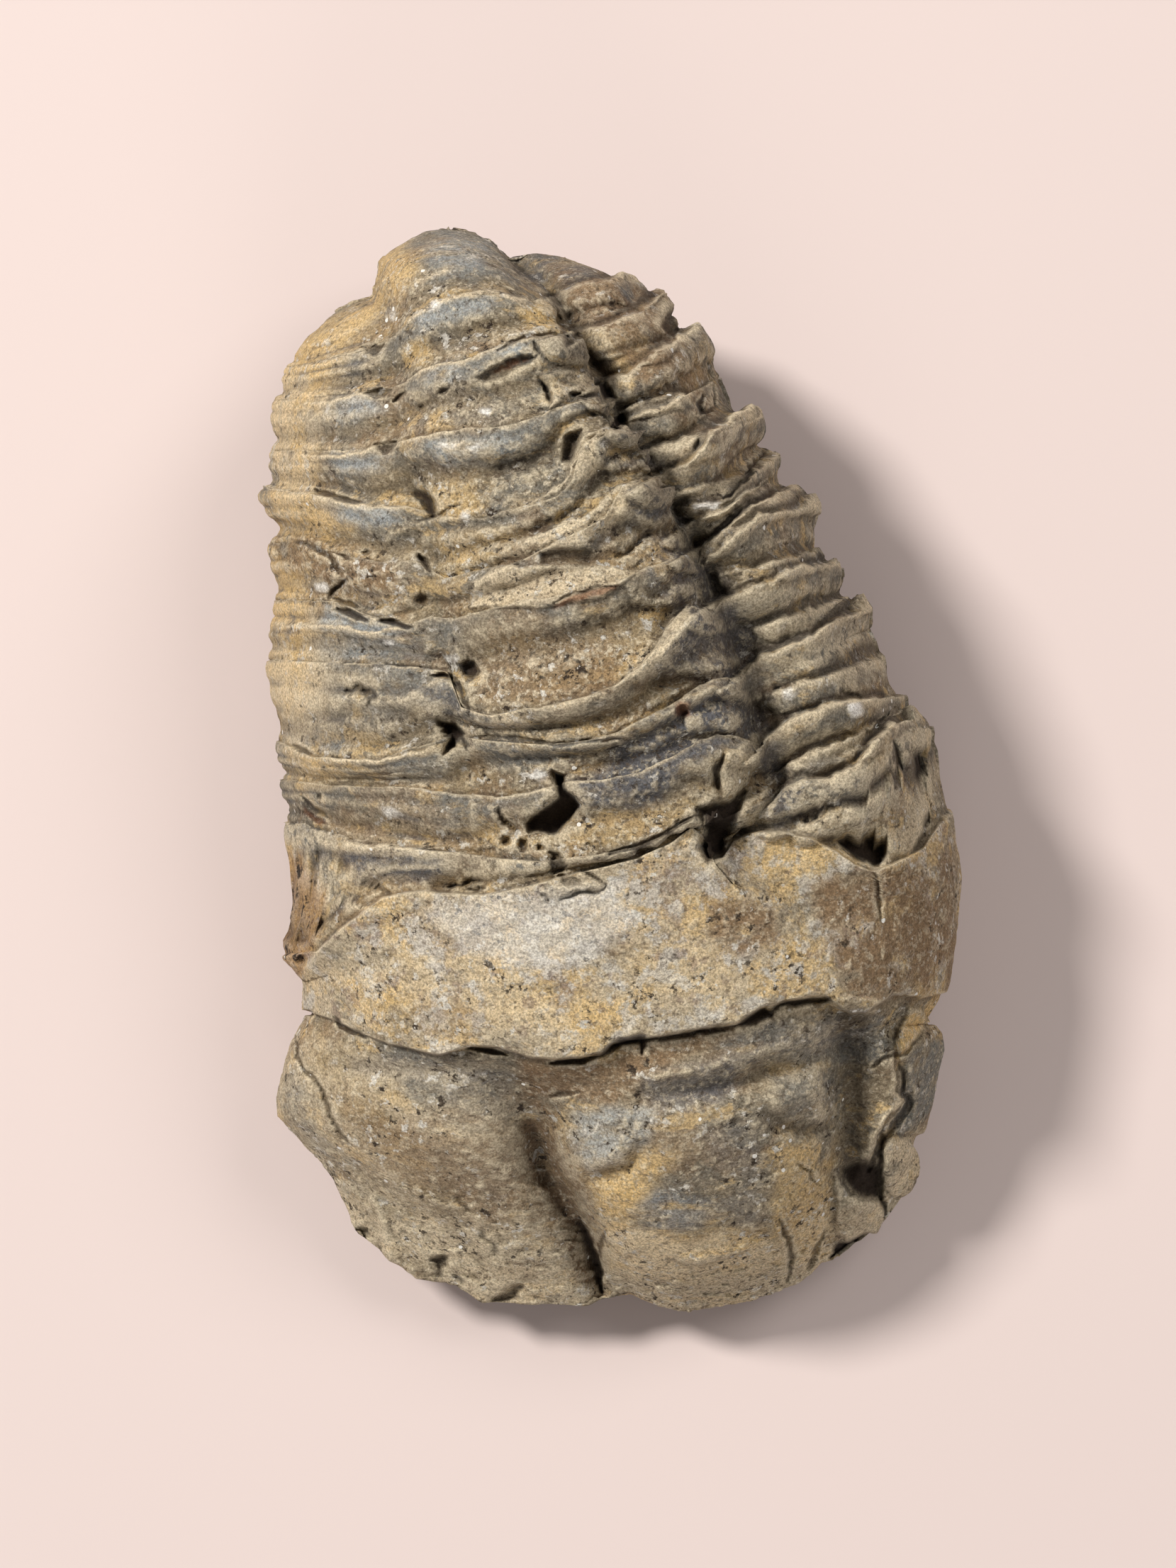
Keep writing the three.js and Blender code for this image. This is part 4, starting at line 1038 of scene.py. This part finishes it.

# Painted light here: the dark row in the left furrow and the dark row in the glabella's right furrow, the
# shadow under the ledge, are painted shade, and pale front of the glabella is painted light on a front that
# turns from the lamps.
HEAD = rows_of("""
glabella's left furrow | valley 40 1.5 | 722,1525 748,1560 757,1620 775,1665 800,1700 822,1745 838,1790
  848,1830
bottom of that furrow | valley 17 2.2 | 756,1600 768,1645 790,1680 810,1715 828,1745 842,1785 848,1815
deep end of that furrow | slot 9 1.6 | 818,1722 832,1752 842,1785 850,1822
crack beside the furrow | slot 5 0.8 | 856,1733 849,1755 845,1778 853,1800
neck groove of the left cheek | fold 11 -0.55 | 470,1508 520,1508 600,1509 680,1506 730,1512
crack on the left cheek | slot 4 0.7 | 417,1463 419,1490 431,1508 447,1524 456,1538 461,1556 468,1575
  478,1592 490,1612
border of the left cheek | fold 9 0.5 | 492,1615 522,1636 552,1660 592,1690 640,1702 668,1712 684,1742
  704,1768
gutter inside that border | fold 14 -0.4 | 510,1650 548,1690 600,1722 640,1740 668,1770 690,1800
first crack on the border | slot 4 0.5 | 640,1690 656,1702 668,1710
second crack on the border | slot 4 0.6 | 682,1730 684,1746 698,1757 704,1775
ridge on the left rim | fold 8 0.8 | 528,1695 540,1725 546,1750 556,1778
pit on the left rim | dome -1 | 513,1738 11,9
notch on the left rim | slot 9 1.2 | 612,1776 624,1776 622,1798
second notch on the left rim | slot 10 1 | 735,1814 718,1826 700,1834
third notch on the left rim | slot 4 0.8 | 640,1796 652,1808
side furrow of the glabella | valley 11 0.9 | 832,1662 858,1656 882,1648 898,1634 906,1617
lobe over the side furrow | fold 16 0.5 | 800,1640 840,1636 870,1625 890,1600
fine crack on the glabella | slot 3 0.2 | 906,1520 901,1556 886,1600 882,1618
short crack at the brow | slot 5 0.5 | 774,1546 798,1541 816,1539
ridge over the neck groove | fold 9 0.5 | 895,1520 950,1516 1005,1504 1060,1490 1110,1474
neck groove of the glabella | fold 15 -1.4 | 905,1552 955,1547 1000,1538 1060,1521 1100,1507 1150,1490
  1180,1476
knob | fold 21 1.2 | 1080,1566 1112,1550 1146,1546 1162,1566
hollow under the knob | valley 11 0.9 | 1078,1572 1098,1587 1130,1594 1160,1589 1176,1574
right furrow of the glabella | valley 30 2.4 | 1196,1440 1202,1500 1206,1560 1200,1620 1190,1650
deep hole of the right cheek | raised 18 -1.9 | 1184,1648 1208,1636 1240,1640 1246,1664 1242,1690
  1212,1690 1194,1672
plate edge of the right cheek | blade 26 0.9 | 1262,1496 1264,1538 1274,1550 1258,1572 1238,1600 1224,1642
gap beside that plate | slot 7 0.9 | 1270,1500 1276,1540 1284,1556 1262,1590 1240,1615 1226,1648
flange of the right cheek | raised 8 0.7 | 1264,1450 1330,1446 1330,1500 1306,1600 1280,1596 1290,1552
  1276,1496
pale nodule | dome 1.5 | 1268,1645 26,44
gap under the nodule | slot 7 1.2 | 1244,1600 1242,1650 1244,1692 1250,1712
broken block of the right cheek | raised 10 0.8 | 1180,1662 1204,1686 1240,1696 1250,1712 1232,1742
  1196,1752 1180,1730
edge on that block | blade 20 0.6 | 1240,1690 1214,1692 1196,1672 1182,1652
dark underside | raised 10 -1.8 | 1176,1756 1214,1744 1240,1736 1212,1768 1172,1780
crack down the rough facet | slot 5 0.8 | 1100,1722 1112,1750 1118,1775 1112,1806
second crack of the rough facet | slot 5 0.7 | 1164,1738 1152,1766 1140,1790
crack under the ochre field | slot 4 0.5 | 1124,1640 1140,1652 1156,1672
step at the glabella's front | blade 22 0.45 | 1052,1762 1008,1778 978,1786 958,1780
ochre block at the right side | raised 8 0.9 | 1262,1470 1284,1420 1302,1424 1306,1440 1292,1462 1270,1490
gap beside the ochre block | slot 5 0.5 | 1226,1506 1250,1492 1276,1486 1300,1462
pale front of the glabella | cream 0.8 34 | 850,1740 900,1720 960,1745 1090,1735 1110,1790 1000,1810
  900,1810 862,1800
ochre front of the glabella | ochre 1 40 | 830,1665 900,1625 950,1630 900,1700 960,1740 1080,1730
  1100,1780 1000,1800 900,1800 860,1790 836,1730
ochre left of the glabella | ochre 0.6 30 | 762,1560 800,1570 800,1630 826,1660 816,1700 790,1668 764,1620
ochre field | ochre 0.9 30 | 1075,1590 1110,1585 1172,1600 1176,1640 1150,1660 1090,1640
ochre streak | ochre 0.8 12 | 1090,1690 1100,1690 1106,1750 1094,1752
ochre of the left cheek | ochre 0.35 60 | 430,1450 520,1480 560,1560 600,1680 500,1600 440,1520
ochre right side | ochre 0.9 10 | 1262,1480 1284,1420 1310,1400 1306,1440 1280,1484
grey of the left rim | grey 0.9 16 | 392,1560 410,1500 428,1520 450,1590 500,1640 540,1690 480,1680
  440,1620
grey of the cheek | grey 0.75 50 | 540,1480 640,1485 720,1520 740,1640 700,1700 620,1640 560,1560
blue lobe of the glabella | blue 0.8 20 | 800,1575 850,1562 925,1562 912,1620 880,1640 830,1655 805,1620
grey of the glabella | slate 0.5 36 | 990,1590 1060,1575 1075,1640 1066,1690 1085,1740 960,1752 890,1712
  950,1670 1000,1650
blue of the glabella | blue 0.7 26 | 900,1680 960,1670 1000,1700 990,1735 930,1735 890,1712
brown of the left cheek | brown 0.6 50 | 640,1560 720,1560 760,1660 800,1760 700,1700 600,1680 500,1600
  460,1530 560,1580
slate band of the left cheek | slate 0.8 22 | 500,1492 620,1500 716,1512 716,1532 600,1524 490,1516
slate band of the glabella | slate 0.9 26 | 900,1514 1040,1486 1180,1440 1180,1470 1060,1510 1010,1560
  930,1570 900,1540
pale streaks of the left cheek | cream 0.7 30 | 520,1550 600,1560 690,1600 660,1640 560,1600
brown left furrow | brown 1 24 | 728,1495 778,1500 790,1600 830,1690 850,1750 862,1830 830,1835 796,1770
  756,1690 732,1600
dirt of the left furrow | dirt 0.3 20 | 745,1560 775,1600 800,1660 836,1720 856,1790 850,1830 820,1780
  780,1700 750,1620
brown under the ledge | brown 0.85 16 | 730,1500 800,1506 870,1490 910,1474 960,1462 1000,1454 990,1480
  930,1506 900,1530 860,1560 740,1530
ochre of the rough facet | ochre 0.6 24 | 1090,1640 1170,1650 1180,1740 1140,1790 1100,1740
grey of the knob | grey 0.8 20 | 1090,1520 1150,1500 1182,1520 1180,1580 1110,1580
grey under the slab | grey 0.9 20 | 1000,1480 1080,1440 1250,1430 1250,1490 1180,1500 1100,1500
grey flange | grey 0.9 12 | 1276,1490 1330,1460 1310,1560 1280,1600 1262,1600
cream rim of the left cheek | cream 0.75 14 | 482,1690 540,1698 620,1722 664,1762 700,1800 740,1828
  690,1840 640,1812 575,1804 545,1772 500,1748
pale nodule | cream 0.9 8 | 1246,1612 1290,1600 1296,1650 1284,1684 1258,1692
brown right furrow | dirt 0.55 26 | 1182,1420 1226,1430 1228,1560 1212,1640 1186,1640 1186,1560
grain of the rim | grain 1 10 | 400,1600 500,1640 640,1700 720,1720 840,1800 1110,1780 1170,1690 1200,1750
  1100,1850 700,1860 480,1780
grain of the furrow | grain 1 20 | 715,1500 760,1520 770,1640 820,1700 850,1800 800,1800 740,1660
""")
CHIP_STRENGTH = 0.85
# White crystals and shell chips: the middle and the two radii of each, in photo pixels.
WHITE_CHIPS = path("""
551,445 9,7 613,429 8,6 630,629 16,4 665,633 13,5 656,730 7,12 453,829 13,8 637,929 12,6 682,579 13,6
548,906 6,6 550,1145 10,9 757,1093 15,8
""")


def white_chips(r):
    """Small round chips of crystal."""
    for (u, v), (reach_u, reach_v) in zip(WHITE_CHIPS[::2], WHITE_CHIPS[1::2]):
        far = np.hypot((r.u_ragged - u) / reach_u, (r.v_ragged - v) / reach_v)
        r.tint("crystal", CHIP_STRENGTH * (1 - smoothstep(0.5, 1, far)) * r.above)


def head_relief(r):
    """The head's furrows and mounds, and the broken slab that lies behind the head's rear ledge."""
    along = smoothstep(*HEAD_FURROW_START, r.line) * (1 - smoothstep(*HEAD_FURROW_END, r.line))
    depth = np.where(r.column < 0, HEAD_FURROWS["left"], HEAD_FURROWS["right"])
    r.rise -= depth * along * bell(r.out, FURROW_COLUMN, HEAD_FURROW_WIDTH) * r.above
    ragged = r.line + SLAB_RAGGEDNESS * r.noise("slab edges")
    slab = smoothstep(LEDGE, LEDGE + 0.06, ragged) * (1 - smoothstep(SLAB_TOP - 0.05, SLAB_TOP, ragged))
    r.rise += SLAB_RISE * slab * r.above * (1 - 0.7 * smoothstep(0.85, 1, r.out))
    # The slab is a fresh break, and darker toward the right.
    r.tint("fresh", slab)
    r.tint("grain", 0.45 * slab)
    r.tint("cream", slab * (0.62 - 0.4 * smoothstep(0.1, 0.6, r.column)))
    # The head is paler on its left and at its front end, partly its own pale colour and partly painted light,
    # most of all on the front, which turns from the lamps; it is grainy all over.
    pale = np.where(r.column < FURROW_COLUMN, 0.45 - 0.3 * smoothstep(-0.5, -0.3, r.column), 0)
    r.tint("cream", pale * (1 - smoothstep(LEDGE - 0.6, LEDGE - 0.2, r.line)) * r.wrap)
    r.tint("grain", 0.5 * (1 - smoothstep(LEDGE - 0.2, LEDGE, r.line)) * r.above)
    r.tint("cream", 0.6 * (1 - smoothstep(0.8, 1.6, r.line)) * r.wrap)
    x, y = r.points[:, 0], r.points[:, 1]
    for (middle_x, middle_y), (reach_x, reach_y), rise in MOUNDS.values():
        far = np.hypot((x - middle_x) / reach_x, (y - middle_y) / reach_y)
        r.rise += r.above * rise * np.clip(1 - far**2, 0, 1) ** MOUND_POWER
    draw(r, SLAB)
    draw(r, HEAD)


LUMP_HEIGHT = 0.22
BUMP_HEIGHT = 0.14
PORE_DEPTH = 0.45
POROUS_HEIGHT = 0.25


def stone_texture(r):
    """Lumps, chipped grains and pores of the stone itself."""
    rough = 0.3 + 0.7 * r.mask["grain"]
    r.rise += LUMP_HEIGHT * r.noise("lumps")
    r.rise += BUMP_HEIGHT * rough * r.noise("bumps")
    for size, height, seed in GRAINS:
        r.rise += height * rough * facets(r.points, size, seed)
    pores = smoothstep(-0.05, 0.35, r.noise("pores"))
    r.rise += r.mask["porous"] * (POROUS_HEIGHT * r.noise("porous ground") - PORE_DEPTH * pores)


SPIKE = 0.8  # how far in millimetres a point may stand over the average of its neighbours
SPIKE_REACH = 4  # mesh steps
# Painted shade in hollows: how wide a neighbourhood, in mesh steps, the depths in millimetres where the shade
# starts and is full, and its strength.
HOLLOWS = [(1, 0.03, 0.14, 0.3), (3, 0.12, 0.6, 0.55), (9, 0.5, 2.2, 0.4)]
# The same for what stands proud and is made pale, partly as wear and partly as painted highlight.
WORN_AND_HIGHLIT = [(1, 0.02, 0.1, 0.7), (3, 0.06, 0.3, 0.7)]
FRESH_LESS_SHADE = 0.65  # how much less of the hollows' painted shade a fresh break gets


def box_blur(grid, reach):
    """The average over the neighbours within reach, along both directions of a grid."""
    for axis in (0, 1):
        padded = np.pad(grid, [(reach + 1, reach) if k == axis else (0, 0) for k in (0, 1)], "edge")
        sums = np.cumsum(padded, axis=axis)
        width = 2 * reach + 1
        size = grid.shape[axis]
        grid = (np.take(sums, range(width, width + size), axis) - np.take(sums, range(size), axis)) / width
    return grid


def proudness(r, shape, reach):
    """How far each point of the back stands over the average of its surroundings."""
    height = (r.rise + r.lift)[: shape[0] * shape[1]].reshape(shape)
    return (height - box_blur(box_blur(height, reach), reach)).ravel()


def cut_spikes(r, shape):
    """Cuts down what stands far over its surroundings on every side."""
    proud = proudness(r, shape, SPIKE_REACH)
    r.rise[: len(proud)] -= np.maximum(proud - SPIKE, 0)


def darken_hollows_lighten_crests(r, shape):
    """Darkens hollows as painted shade, and makes pale what stands proud, partly as wear and partly as
    painted highlight.
    """
    back = slice(0, shape[0] * shape[1])
    shade_share = 1 - FRESH_LESS_SHADE * r.mask["fresh"][back]
    for reach, start, end, strength in HOLLOWS:
        r.tint("dirt", strength * shade_share * smoothstep(start, end, -proudness(r, shape, reach)), back)
    for reach, start, end, strength in WORN_AND_HIGHLIT:
        r.tint("worn", strength * smoothstep(start, end, proudness(r, shape, reach)), back)


# ---------------------------------------------------------------- mesh
SIDE_SHARE = 0.6  # how much of the relief the steep sides keep
STEEP = (0.05, 0.45)  # the upward share of a direction out of the stone where it counts as steep, and as flat


def direction_of(normals):
    """Relief goes straight up, so that it stays over its place, and outward where the sides stand steep."""
    upright = smoothstep(*STEEP, np.abs(normals[:, 2]))[:, None]
    sideways = normals * np.array([1, 1, 0])
    sideways /= np.maximum(np.linalg.norm(sideways, axis=1, keepdims=True), 1e-9)
    return sideways * (1 - upright) * SIDE_SHARE + np.sign(normals) * np.array([0, 0, 1]) * upright


def finished_points(points, normals, rise, lift):
    """Final places in metres: with the relief, drawn together toward the camera, and none below the floor."""
    moved = points + direction_of(normals) * rise[:, None]
    moved[:, 2] += lift
    scale = 1 + (TAPER_LEVEL - moved[:, 2:]) / EYE_ABOVE_LEVEL
    moved[:, :2] = moved[:, :2] * scale + MODEL_SHIFT
    moved[:, 2] = np.maximum(moved[:, 2], 0)
    return moved * MM


def make_mesh(points, faces, masks):
    """The skin as a mesh. A quad that names a point twice becomes a triangle, and a line is left out."""
    mesh = bpy.data.meshes.new(NODE + "_skin")
    lists = [tuple(dict.fromkeys(face)) for face in faces.tolist()]
    lists = [face for face in lists if len(face) > 2]
    mesh.from_pydata(points.tolist(), [], lists)
    for name, values in masks.items():
        mask = mesh.attributes.new(name, "FLOAT", "POINT")
        mask.data.foreach_set("value", np.clip(values, 0, 1).astype(np.float32))
    mesh.validate()
    mesh.shade_smooth()
    return mesh


TRIANGLE_LIMIT = 195_000
LONE_HEIGHT = 0.35  # a spike stands this many millimetres over the middle of its neighbours
LONE_TOP = 0.1  # and no more than this under the highest of them
PULLS = 3  # how often spikes are looked for


def thin_out(obj):
    """Drops triangles where the skin is flat, down to the limit."""
    triangles = sum(len(p.vertices) - 2 for p in obj.data.polygons)
    if triangles <= TRIANGLE_LIMIT:
        return
    reduce = obj.modifiers.new("thin out", "DECIMATE")
    reduce.ratio = TRIANGLE_LIMIT / triangles
    reduce.use_collapse_triangulate = True
    view_layer = bpy.context.view_layer
    view_layer.objects.active = obj
    view_layer.update()
    made = bpy.data.meshes.new_from_object(obj.evaluated_get(bpy.context.evaluated_depsgraph_get()))
    obj.modifiers.clear()
    obj.data = made
    made.shade_smooth()


def pull_in_spikes(obj):
    """Points that stand alone over all their neighbours come back among them."""
    mesh = obj.data
    points = np.empty(len(mesh.vertices) * 3)
    mesh.vertices.foreach_get("co", points)
    points = points.reshape(-1, 3)
    edges = np.empty(len(mesh.edges) * 2, int)
    mesh.edges.foreach_get("vertices", edges)
    edges = edges.reshape(-1, 2)
    one, other = np.concatenate([edges, edges[:, ::-1]]).T
    count = np.bincount(one, minlength=len(points))[:, None]
    for _ in range(PULLS):
        middle = np.zeros_like(points)
        np.add.at(middle, one, points[other])
        middle = np.where(count > 0, middle / np.maximum(count, 1), points)
        top = np.zeros(len(points))
        np.maximum.at(top, one, points[other, 2])
        height = points[:, 2]
        alone = (height > middle[:, 2] + LONE_HEIGHT * MM) & (height > top - LONE_TOP * MM)
        points[alone] = middle[alone]
    mesh.vertices.foreach_set("co", points.ravel())
    mesh.update()


# ---------------------------------------------------------------- material
def linear(r, g, b):
    """A colour given in screen values from 0 to 255."""
    channel = lambda c: c / 12.92 if c <= 0.04045 else ((c + 0.055) / 1.055) ** 2.4
    return (*[channel(v / 255) for v in (r, g, b)], 1)


COLOURS = {
    "stone": linear(143, 129, 105),
    "stone_dark": linear(115, 108, 94),
    "brown": linear(136, 112, 84),
    # pale cream of crusts, chips and broken edges, which also paints highlight on plate and rib edges, fold
    # crests and the head's front
    "cream": linear(216, 199, 168),
    "grey": linear(122, 121, 115),
    "blue": linear(162, 168, 169),
    # dark slate of the stone, which also paints shade beside the lobes, along the right furrow and in the
    # troughs of the left folds
    "slate": linear(98, 98, 101),
    "ochre": linear(218, 186, 128),
    # the darkest brown: painted shade in hollows, creases, cracks, pits, furrows and cast shadows, and dark
    # specks in crusts and pores
    "dirt": linear(50, 39, 30),
    "dark_fleck": linear(92, 76, 58),
    "light_fleck": linear(200, 188, 164),
    # pale on what stands proud, partly wear and partly painted highlight
    "worn": linear(214, 200, 172),
    "rust": linear(124, 74, 40),
    "crystal": linear(240, 237, 230),
    "pale": linear(208, 203, 192),
    "plum": linear(128, 108, 98),
    "floor": linear(205, 190, 186),
}
# Layers of colour over the stone, in this order. Each row: a colour, the mask that limits it, then "whole" or
# what its patches are: streaked or even, their scale, the noise values where they start and are full, and
# their share.
LAYERS = rows_of("""
stone_dark | all | streaked 170 0.46 0.54 1
brown | all | even 110 0.5 0.56 0.6
ochre | all | streaked 330 0.54 0.6 0.6
grey | grey | streaked 300 0.36 0.52 1
blue | blue | streaked 260 0.36 0.52 1
ochre | ochre | streaked 200 0.36 0.52 1
slate | slate | streaked 260 0.36 0.52 1
cream | cream | streaked 240 0.36 0.52 1
ochre | fresh | even 160 0.5 0.56 0.55
plum | fresh | even 210 0.55 0.61 0.55
pale | fresh | even 420 0.52 0.58 0.7
plum | fresh | even 620 0.57 0.63 0.55
brown | brown | streaked 200 0.36 0.52 1
light_fleck | rough | even 1900 0.54 0.6 0.8
dark_fleck | rough | even 2300 0.54 0.6 0.8
dirt | crusty | even 1150 0.57 0.61 1
pale | crusty | even 980 0.57 0.61 1
worn | worn | even 900 0.4 0.5 1
rust | rust | whole
dirt | dirt | whole
crystal | crystal | whole
dirt | porous | even 620 0.54 0.6 1
""")
CRUSTY_PATCHES = (240, 0.46, 0.56)  # scale, and the noise values where they start and are full
STREAKS = (0.4, 1, 1)  # under 1, patches are drawn out along that axis
PATCH_DETAIL = 6
PATCH_ROUGHNESS = 0.68
SHADES = {"dark": (0.66, 0.64, 0.62, 1), "light": (1.32, 1.33, 1.34, 1)}
SHADE_NOISE = (5200, 3, 0.75)  # scale, detail and roughness
SHADE_VALUES = (0.36, 0.64)  # the noise values of the dark and the light shade
SPECK_SCALE = 480
SPECK_SIZE = 0.09
SPECK_PATCHES = (170, 2)  # scale and detail of the noise that keeps the specks together
SPECK_START = 0.55
BUMP_NOISE = (1400, 8, 0.8)  # scale, detail and roughness
BUMP_STRENGTH = 0.8
BUMP_METRES = 0.0004
ROUGHNESS = 0.85
SHINE = 0.3


class Nodes:
    """Short calls for a material's node tree."""

    def __init__(self, tree):
        self.tree = tree
        self.tree.nodes.clear()

    def add(self, kind, **inputs):
        """A new node. An input's name has an underscore for each space."""
        node = self.tree.nodes.new(kind)
        for name, value in inputs.items():
            self.set(node, name.replace("_", " "), value)
        return node

    def set(self, node, name, value):
        """Links a socket to an input, or sets the input to a value."""
        socket = node.inputs[int(name)] if name.isdigit() else node.inputs[name]
        if isinstance(value, bpy.types.NodeSocket):
            self.tree.links.new(value, socket)
        else:
            socket.default_value = value

    def mask(self, name):
        node = self.add("ShaderNodeAttribute")
        node.attribute_name = name
        return node.outputs["Fac"]

    def maths(self, operation, a, b=0.0, clamp=False):
        node = self.tree.nodes.new("ShaderNodeMath")
        node.operation = operation
        node.use_clamp = clamp
        self.set(node, "0", a)
        self.set(node, "1", b)
        return node.outputs[0]

    def noise(self, scale, detail=3, rough=0.6, place=None):
        node = self.add("ShaderNodeTexNoise", Scale=scale, Detail=detail, Roughness=rough)
        self.set(node, "Vector", place or self.place)
        return node.outputs["Fac"]

    def between(self, low, high, value):
        """The smoothstep of a value."""
        node = self.tree.nodes.new("ShaderNodeMapRange")
        node.interpolation_type = "SMOOTHSTEP"
        self.set(node, "Value", value)
        self.set(node, "From Min", low)
        self.set(node, "From Max", high)
        return node.outputs["Result"]

    def blend(self, share, under, over, kind="MIX"):
        node = self.tree.nodes.new("ShaderNodeMix")
        node.data_type = "RGBA"
        node.blend_type = kind
        self.set(node, "0", share)
        self.set(node, "6", under)
        self.set(node, "7", over)
        return node.outputs[2]


def stone_colour(n):
    """The stone's own colour under its layers, some of which paint shade and highlight, with its fine grain
    and its specks of crystal, partly painted glints.
    """
    streaked = n.add("ShaderNodeMapping", Vector=n.place, Scale=STREAKS).outputs["Vector"]
    times = lambda a, b: n.maths("MULTIPLY", a, b, True)
    patches = lambda scale, start, end, place=None: n.between(
        start, end, n.noise(scale, PATCH_DETAIL, PATCH_ROUGHNESS, place))
    rough = n.maths("ADD", times(n.mask("grain"), 0.6), 0.35)
    crusty = times(patches(*CRUSTY_PATCHES), n.maths("ADD", rough, 0.3))
    limits = {"all": 1.0, "rough": rough, "crusty": crusty}
    colour = COLOURS["stone"]
    for name, mask, how in LAYERS:
        share = limits[mask] if mask in limits else n.mask(mask)
        kind, *numbers = how.split()
        if kind != "whole":
            scale, start, end, most = map(float, numbers)
            place = streaked if kind == "streaked" else None
            share = times(times(share, patches(scale, start, end, place)), most)
        colour = n.blend(share, colour, COLOURS[name])
    shade = n.blend(n.between(*SHADE_VALUES, n.noise(*SHADE_NOISE)), SHADES["dark"], SHADES["light"])
    colour = n.blend(1.0, colour, shade, "MULTIPLY")
    # White specks of crystal, which partly stand in as painted glints.
    speck = n.add("ShaderNodeTexVoronoi", Scale=SPECK_SCALE, Vector=n.place).outputs["Distance"]
    crystal = n.maths("MULTIPLY", n.maths("LESS_THAN", speck, SPECK_SIZE),
                      n.maths("GREATER_THAN", n.noise(*SPECK_PATCHES), SPECK_START))
    return n.blend(crystal, colour, COLOURS["crystal"])


def stone_material():
    """The one material of the stone."""
    material = bpy.data.materials.new(SLOT)
    material.use_nodes = True
    n = Nodes(material.node_tree)
    n.place = n.add("ShaderNodeTexCoord").outputs["Object"]
    bump = n.add("ShaderNodeBump", Strength=BUMP_STRENGTH, Distance=BUMP_METRES, Height=n.noise(*BUMP_NOISE))
    shader = n.add("ShaderNodeBsdfPrincipled", Base_Color=stone_colour(n), Normal=bump.outputs["Normal"],
                   Roughness=ROUGHNESS, Specular_IOR_Level=SHINE)
    n.add("ShaderNodeOutputMaterial", Surface=shader.outputs["BSDF"])
    return material


# ---------------------------------------------------------------- scene
FLOOR_HALF = 3.0  # metres
# Lamps: place and size in metres, power in watts, colour.
LAMPS = {
    "window": ((-0.57, 0.4, 0.8), 0.2, 13, (1, 0.97, 0.93)),
    "front": ((0.1, -0.85, 0.55), 0.5, 1.6, (1, 0.97, 0.93)),
    "fill": ((0.5, 0.45, 0.85), 0.5, 4.0, (1, 0.97, 0.94)),
}
SKY_COLOUR = (1, 0.965, 0.94, 1)
SKY_STRENGTH = 0.25
SENSOR_WIDTH = 36


def placed(name, data):
    """A new object in the scene."""
    made = bpy.data.objects.new(name, data)
    bpy.context.scene.collection.objects.link(made)
    return made


def make_fossil():
    """The stone's skin, in one piece."""
    points, faces, facts, shape = build_skin()
    normals = point_normals(points, faces)
    relief = Relief(points, facts)
    plate_relief(relief)
    lobe_relief(relief)
    draw(relief, THORAX)
    left_folds(relief)
    draw(relief, LEFT_FLANK)
    draw(relief, RIGHT_FLANK)
    head_relief(relief)
    white_chips(relief)
    stone_texture(relief)
    cut_spikes(relief, shape)
    darken_hollows_lighten_crests(relief, shape)
    mesh = make_mesh(finished_points(points, normals, relief.rise, relief.lift), faces, relief.mask)
    fossil = placed("fossil_skin", mesh)
    thin_out(fossil)
    pull_in_spikes(fossil)
    fossil.data.materials.append(stone_material())
    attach(fossil, "root")
    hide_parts(NODE)


def make_floor():
    """The table under the stone, which isn't part of the piece."""
    mesh = bpy.data.meshes.new("floor")
    signs = [(-1, -1), (1, -1), (1, 1), (-1, 1)]
    mesh.from_pydata([(x * FLOOR_HALF, y * FLOOR_HALF, 0) for x, y in signs], [], [(0, 1, 2, 3)])
    floor = placed("floor", mesh)
    material = bpy.data.materials.new("pale_floor")
    material.use_nodes = True
    shader = material.node_tree.nodes["Principled BSDF"]
    shader.inputs["Base Color"].default_value = COLOURS["floor"]
    shader.inputs["Roughness"].default_value = 0.9
    mesh.materials.append(material)


def make_light():
    """Daylight from the upper left, with a weaker light from the front and a fill."""
    for name, (place, size, power, colour) in LAMPS.items():
        light = bpy.data.lights.new(name, "AREA")
        light.shape = "DISK"
        light.size = size
        light.energy = power
        light.color = colour
        lamp = placed(name, light)
        lamp.location = place
        lamp.rotation_mode = "QUATERNION"
        lamp.rotation_quaternion = (-Vector(place)).to_track_quat("-Z", "Y")
    world = bpy.data.worlds.new("studio")
    world.use_nodes = True
    sky = world.node_tree.nodes["Background"]
    sky.inputs["Color"].default_value = SKY_COLOUR
    sky.inputs["Strength"].default_value = SKY_STRENGTH
    bpy.context.scene.world = world
    bpy.context.scene.view_settings.view_transform = "Standard"


def make_camera():
    """A camera straight over the photo's middle, whose frame is the photo's."""
    lens = bpy.data.cameras.new("eye")
    lens.sensor_width = SENSOR_WIDTH
    lens.lens = SENSOR_WIDTH * EYE_ABOVE_LEVEL * PX_PER_MM / max(FRAME_PX)
    camera = placed("eye", lens)
    x, y = plan_of(FRAME_PX[0] / 2, FRAME_PX[1] / 2)
    camera.location = Vector((x + MODEL_SHIFT[0], y + MODEL_SHIFT[1], EYE_ABOVE_FLOOR)) * MM
    bpy.context.scene.camera = camera


make_fossil()
make_floor()
make_light()
make_camera()
